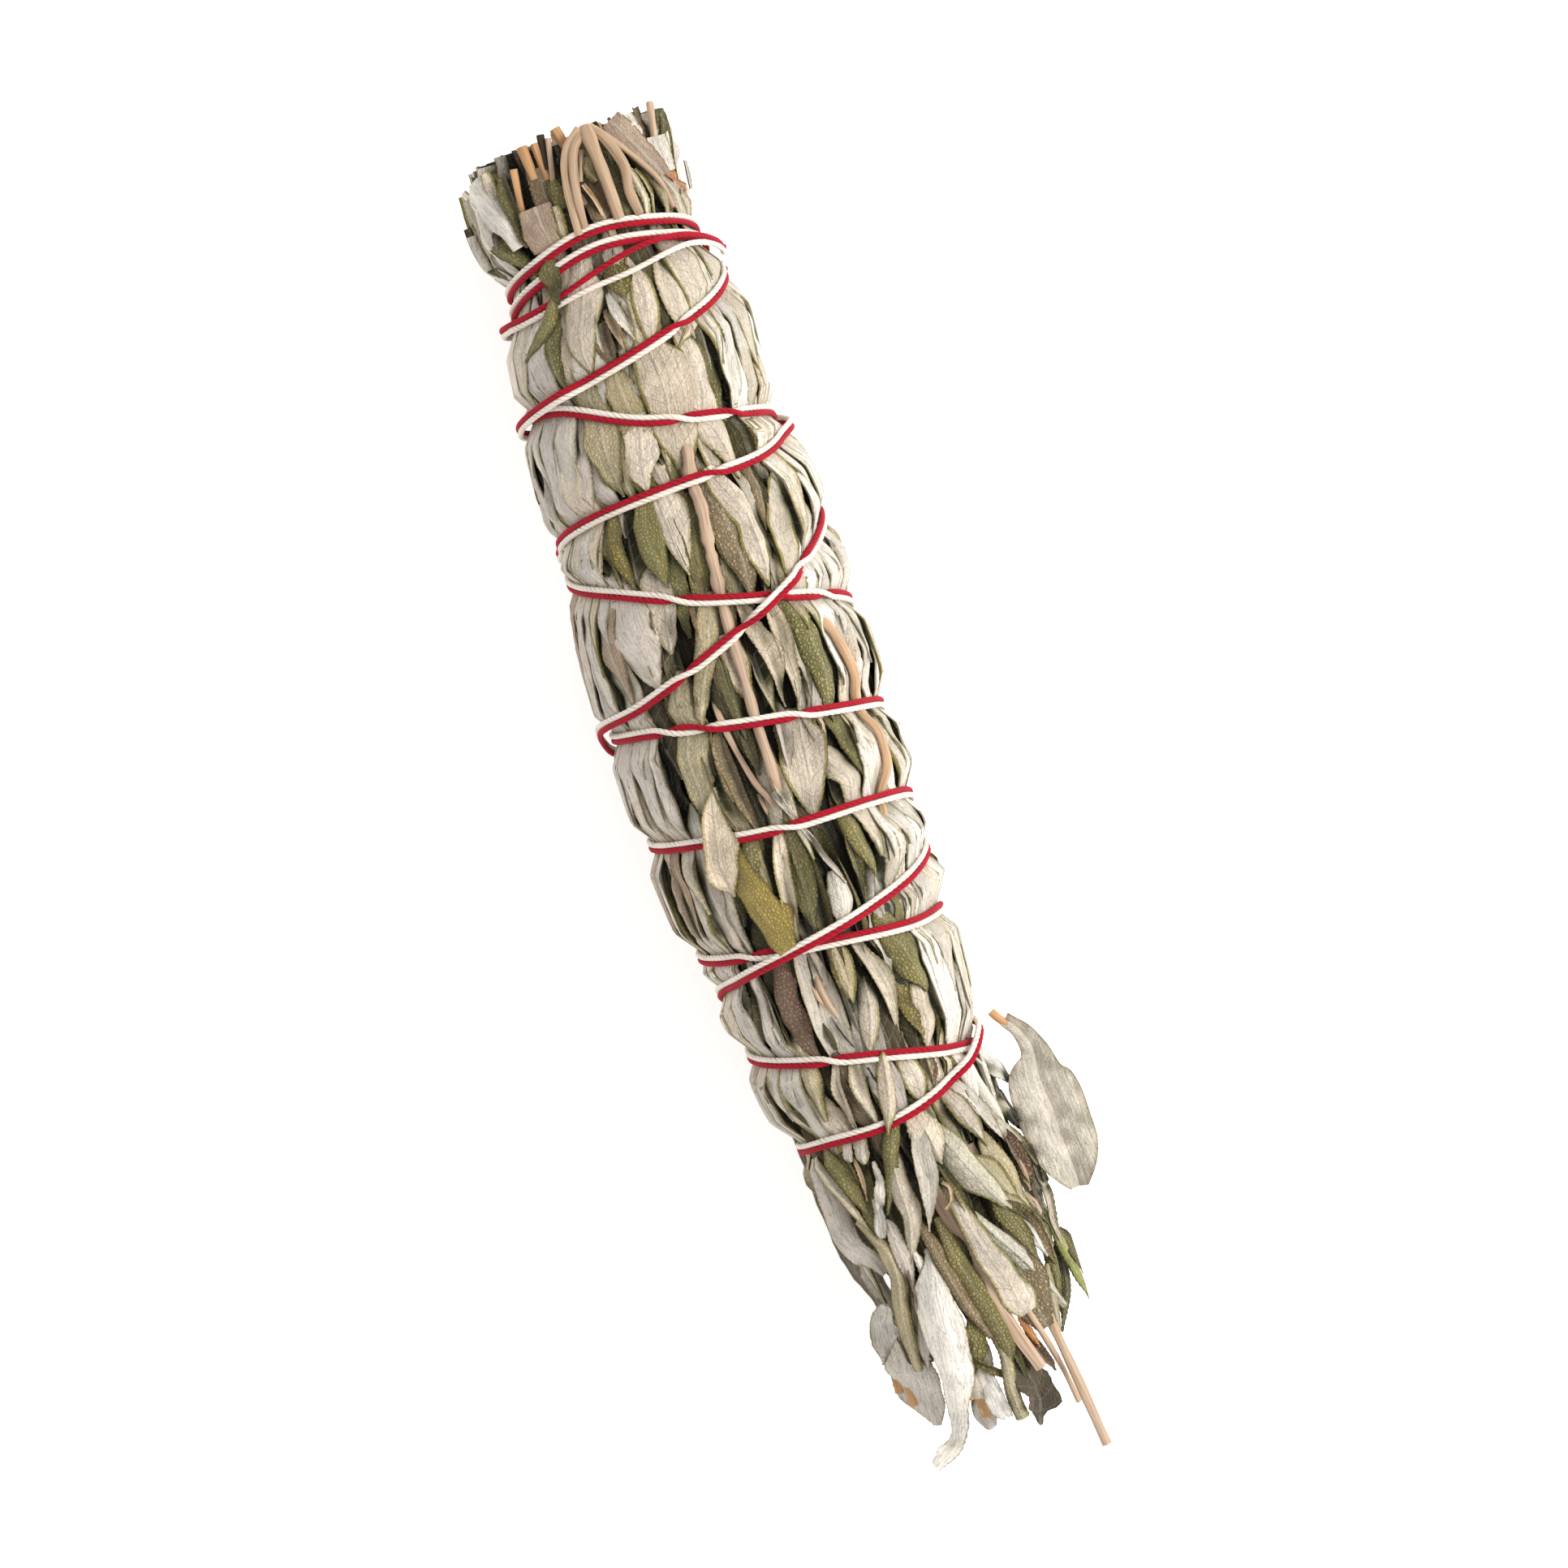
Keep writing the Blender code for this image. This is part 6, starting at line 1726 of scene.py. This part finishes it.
# Near black is painted shade, on a stub sunk between the others at the cut end.
STUB_SHADE_BLACK = (0.07, 0.07, 0.06)
PLAIN = (1.0, 1.0, 1.0)
STUBS = (
    (0.65, ORANGE, (4.4, -6.4, 1.0), (12.4, -7.7, 1.2)),
    (0.95, ORANGE, (1.6, -4.0, 1.2), (7.2, -3.8, 1.4)),
    (0.7, STUB_SHADE_BLACK, (0.8, -0.5, 1.4), (6.4, -1.5, 1.8)),
    (0.65, ORANGE, (1.8, -1.9, 1.2), (8.0, -1.9, 1.6)),
    (0.5, PLAIN, (1.8, 0.5, 0.8), (8.8, -1.2, 1.4)),
    (0.9, ORANGE, (0.7, 2.0, 1.2), (3.8, 2.6, 1.8)),
    (0.6, PLAIN, (1.1, 17.9, 0.4), (7.6, 16.4, 0.8)),
    (0.4, PLAIN, (5.4, 4.8, 0.4), (10.2, 3.0, 0.6)),
    (
        0.5, PLAIN,
        (200.6, 6.8, 1.6), (203.9, 7.5, 0.9), (209.9, 8.8, 0.6), (216.6, 9.9, 0.6), (222.0, 10.4, 0.8),
    ),
    (1.1, ORANGE, (212.0, -4.2, 3.6), (218.6, -4.4, 3.4)),
    (0.6, ORANGE, (210.8, -5.2, 2.6), (215.2, -5.7, 2.6)),
    (1.0, ORANGE, (205.0, -15.2, 2.0), (210.8, -16.4, 2.4)),
    (0.9, ORANGE, (208.0, -14.4, 2.0), (213.6, -14.9, 2.4)),
)
for thick, tint, *line in STUBS:
    spots = rounded(line, tip_radius if line[0][0] > 100 else radius_at)
    twig_parts.append(stalk_part(spots, thick, sides=10, tint=tint))
# The silver leaf's stem.
leaf_base = ((158.0, 18.9, 22.6), (159.2, 19.5, 22.7), (160.7, 20.5, 22.7))
twig_parts.append(stalk_part(leaf_base, 0.7, sides=10, tint=ORANGE))
# Stubs inside the cut end, seen only from there.
INNER_STUBS = 26
for number in range(INNER_STUBS):
    start = rng.uniform(0.3, 5.5)
    angle = 2 * math.pi * (number * GOLDEN % 1.0)
    share = rng.uniform(0.25, 0.93)
    x = np.array([start, start + 9, start + 22])
    line = around(x, angle + rng.normal(0, 0.03, 3), radius_at(x) * share)
    twig_parts.append(stalk_part(line, rng.uniform(0.6, 1.3), sides=10, rows=8))
stalk_piece("twigs_and_stubs", twig_parts)


# Twine
# Cotton butcher's twine, each strand about a millimetre thick and spun from three plies, one strand crimson
# and one cream. Wound tightly round the finished bundle, it bites into the leaves.

PLIES = 3
PLY_PITCH = 3.4
STRAND_SIDES = 9
STRAND_STEP = 0.4


def strand_part(course, angles, turn):
    """A strand: a profile with a lobe for each ply, carried along its course and turned once every PLY_PITCH.

    radius = r (0.86 + 0.2 |cos(1.5 a)|), where a is the angle in the profile less the turn so far, and all of
    it swells by a few hundredths along the strand. The strand is closed by a middle point at each end.
    """
    far = run_along(course)
    along = np.linspace(0, far[-1], int(far[-1] / STRAND_STEP))
    line = evened(np.column_stack([np.interp(along, far, values) for values in course.T]), 4)
    sideways, outward = twine_frames(line, np.interp(along, far, angles))
    angle = 2 * math.pi * np.arange(STRAND_SIDES) / STRAND_SIDES
    lobe = angle - 2 * math.pi * along[:, None] / PLY_PITCH + turn
    ply = np.abs(np.cos(PLIES / 2 * lobe))
    swell = 1 + 0.03 * np.sin(along / 2.7) + 0.02 * np.sin(along / 0.9)
    radius = STRAND_RADIUS * (0.86 + 0.2 * ply) * swell[:, None]
    spots = rings_round(line, radius, angle, sideways, outward)
    index, after, walls = tube_faces(len(line), STRAND_SIDES)
    start = np.stack([index[0], after[0], np.full(STRAND_SIDES, index.size)], axis=-1)
    end = np.stack([after[-1], index[-1], np.full(STRAND_SIDES, index.size + 1)], axis=-1)
    own = np.column_stack([np.repeat(along, STRAND_SIDES), lobe.ravel(), ply.ravel()])
    return {
        "points": np.concatenate([spots.reshape(-1, 3), line[:1], line[-1:]]),
        "faces": [walls, start, end],
        "blade": np.concatenate([own, own[:1], own[-1:]]),
    }


def cotton_material(name, colour, deep):
    """Spun cotton: matt, a little fuzzy, with painted shade in the grooves where its plies meet, and fibres
    that follow their twist.
    """
    made, tree, shader = fresh_material(
        name,
        {
            "Roughness": 0.9,
            "IOR": 1.5,
            "Specular IOR Level": 0.2,
            "Sheen Weight": 0.06,
            "Sheen Roughness": 0.5,
        },
    )
    own = add_node(tree, "Attribute", (), "Vector", attribute_name="blade")
    ply = add_node(tree, "SeparateXYZ", (own,), "Z")
    fibres = add_node(tree, "Mapping", {"Vector": own, "Scale": (0.7, 5.0, 0.0)})
    fibre = add_node(tree, "TexNoise", {"Vector": fibres, "Scale": 1.3, "Detail": 3.0})
    # Painted shade in the grooves between the plies, towards the deep colour.
    shade = add_node(tree, "MapRange", (ply, 0.0, 0.7, 1.0, 0.0))
    light = add_node(tree, "MapRange", (fibre, 0.3, 0.7, 0.25, -0.1))
    amount = add_node(tree, "Math", (shade, 0.75, light), operation="MULTIPLY_ADD", use_clamp=True)
    mixed = add_node(tree, "MixRGB", (amount, (*linear(colour), 1.0), (*linear(deep), 1.0)))
    tree.links.new(mixed, shader.inputs["Base Color"])
    bump = add_node(tree, "Bump", {"Height": fibre, "Distance": 0.12 * MM, "Strength": 0.7})
    tree.links.new(bump, shader.inputs["Normal"])
    return made


crimson_cotton = cotton_material("crimson_cotton", "#B61029", "#5A0412")
cream_cotton = cotton_material("cream_cotton", "#FBF3E8", "#B3A495")
for strand, course, cotton, turn in (
    ("red", red_course, crimson_cotton, 0.0),
    ("white", white_course, cream_cotton, 1.0),
):
    piece = make_piece(f"{strand}_strand", [strand_part(course, course_angles, turn)], cotton, math.pi)
    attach(piece, "root")
    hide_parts(f"twine_{strand}")


# Stage
# A white table top under a wide soft lamp on the bright side, with pale light from all round, and a camera
# high above that looks straight down.

floor_mesh = bpy.data.meshes.new("table_top")
floor_mesh.from_pydata([(-3, -3, 0), (3, -3, 0), (3, 3, 0), (-3, 3, 0)], [], [(0, 1, 2, 3)])
floor = bpy.data.objects.new("table_top", floor_mesh)
bpy.context.scene.collection.objects.link(floor)
table_white, _, _ = fresh_material(
    "table_white",
    {
        "Base Color": (0.93, 0.93, 0.93, 1),
        "Roughness": 0.9,
        "Emission Color": (1, 1, 1, 1),
        "Emission Strength": 0.5,
    },
)
floor_mesh.materials.append(table_white)

world = bpy.data.worlds.new("pale_room")
bpy.context.scene.world = world
world.use_nodes = True
background = world.node_tree.nodes["Background"]
background.inputs["Color"].default_value = (1.0, 0.975, 0.945, 1)
background.inputs["Strength"].default_value = 0.74

LAMP_PLACE = (0.1, 0.95, 1.05)
lamp_data = bpy.data.lights.new("soft_lamp", "AREA")
lamp_data.shape = "DISK"
lamp_data.size = 0.9
lamp_data.energy = 17.4
lamp_data.color = (1.0, 0.98, 0.95)
lamp = bpy.data.objects.new("soft_lamp", lamp_data)
lamp.location = LAMP_PLACE
aim = np.array(LAMP_PLACE) / np.linalg.norm(LAMP_PLACE)
lamp.rotation_euler = (-math.atan2(aim[1], aim[2]), math.asin(aim[0]), 0)
bpy.context.scene.collection.objects.link(lamp)

# The place in the middle of the photo, and how far the camera is turned about its upright line, in degrees.
SEEN_MIDDLE = (111.8, 0.19, 21.0)
CAMERA_TURN = 69.75
CAMERA_HEIGHT = 1.2
FRAME_WIDTH = 0.2543
SENSOR = 36.0
camera_data = bpy.data.cameras.new("camera")
camera_data.sensor_width = SENSOR
camera_data.lens = SENSOR * CAMERA_HEIGHT / FRAME_WIDTH
camera = bpy.data.objects.new("camera", camera_data)
camera.location = placed(SEEN_MIDDLE) + (0, 0, CAMERA_HEIGHT)
camera.rotation_euler = (0, 0, math.radians(CAMERA_TURN))
bpy.context.scene.collection.objects.link(camera)
bpy.context.scene.camera = camera
bpy.context.scene.view_settings.view_transform = "Standard"
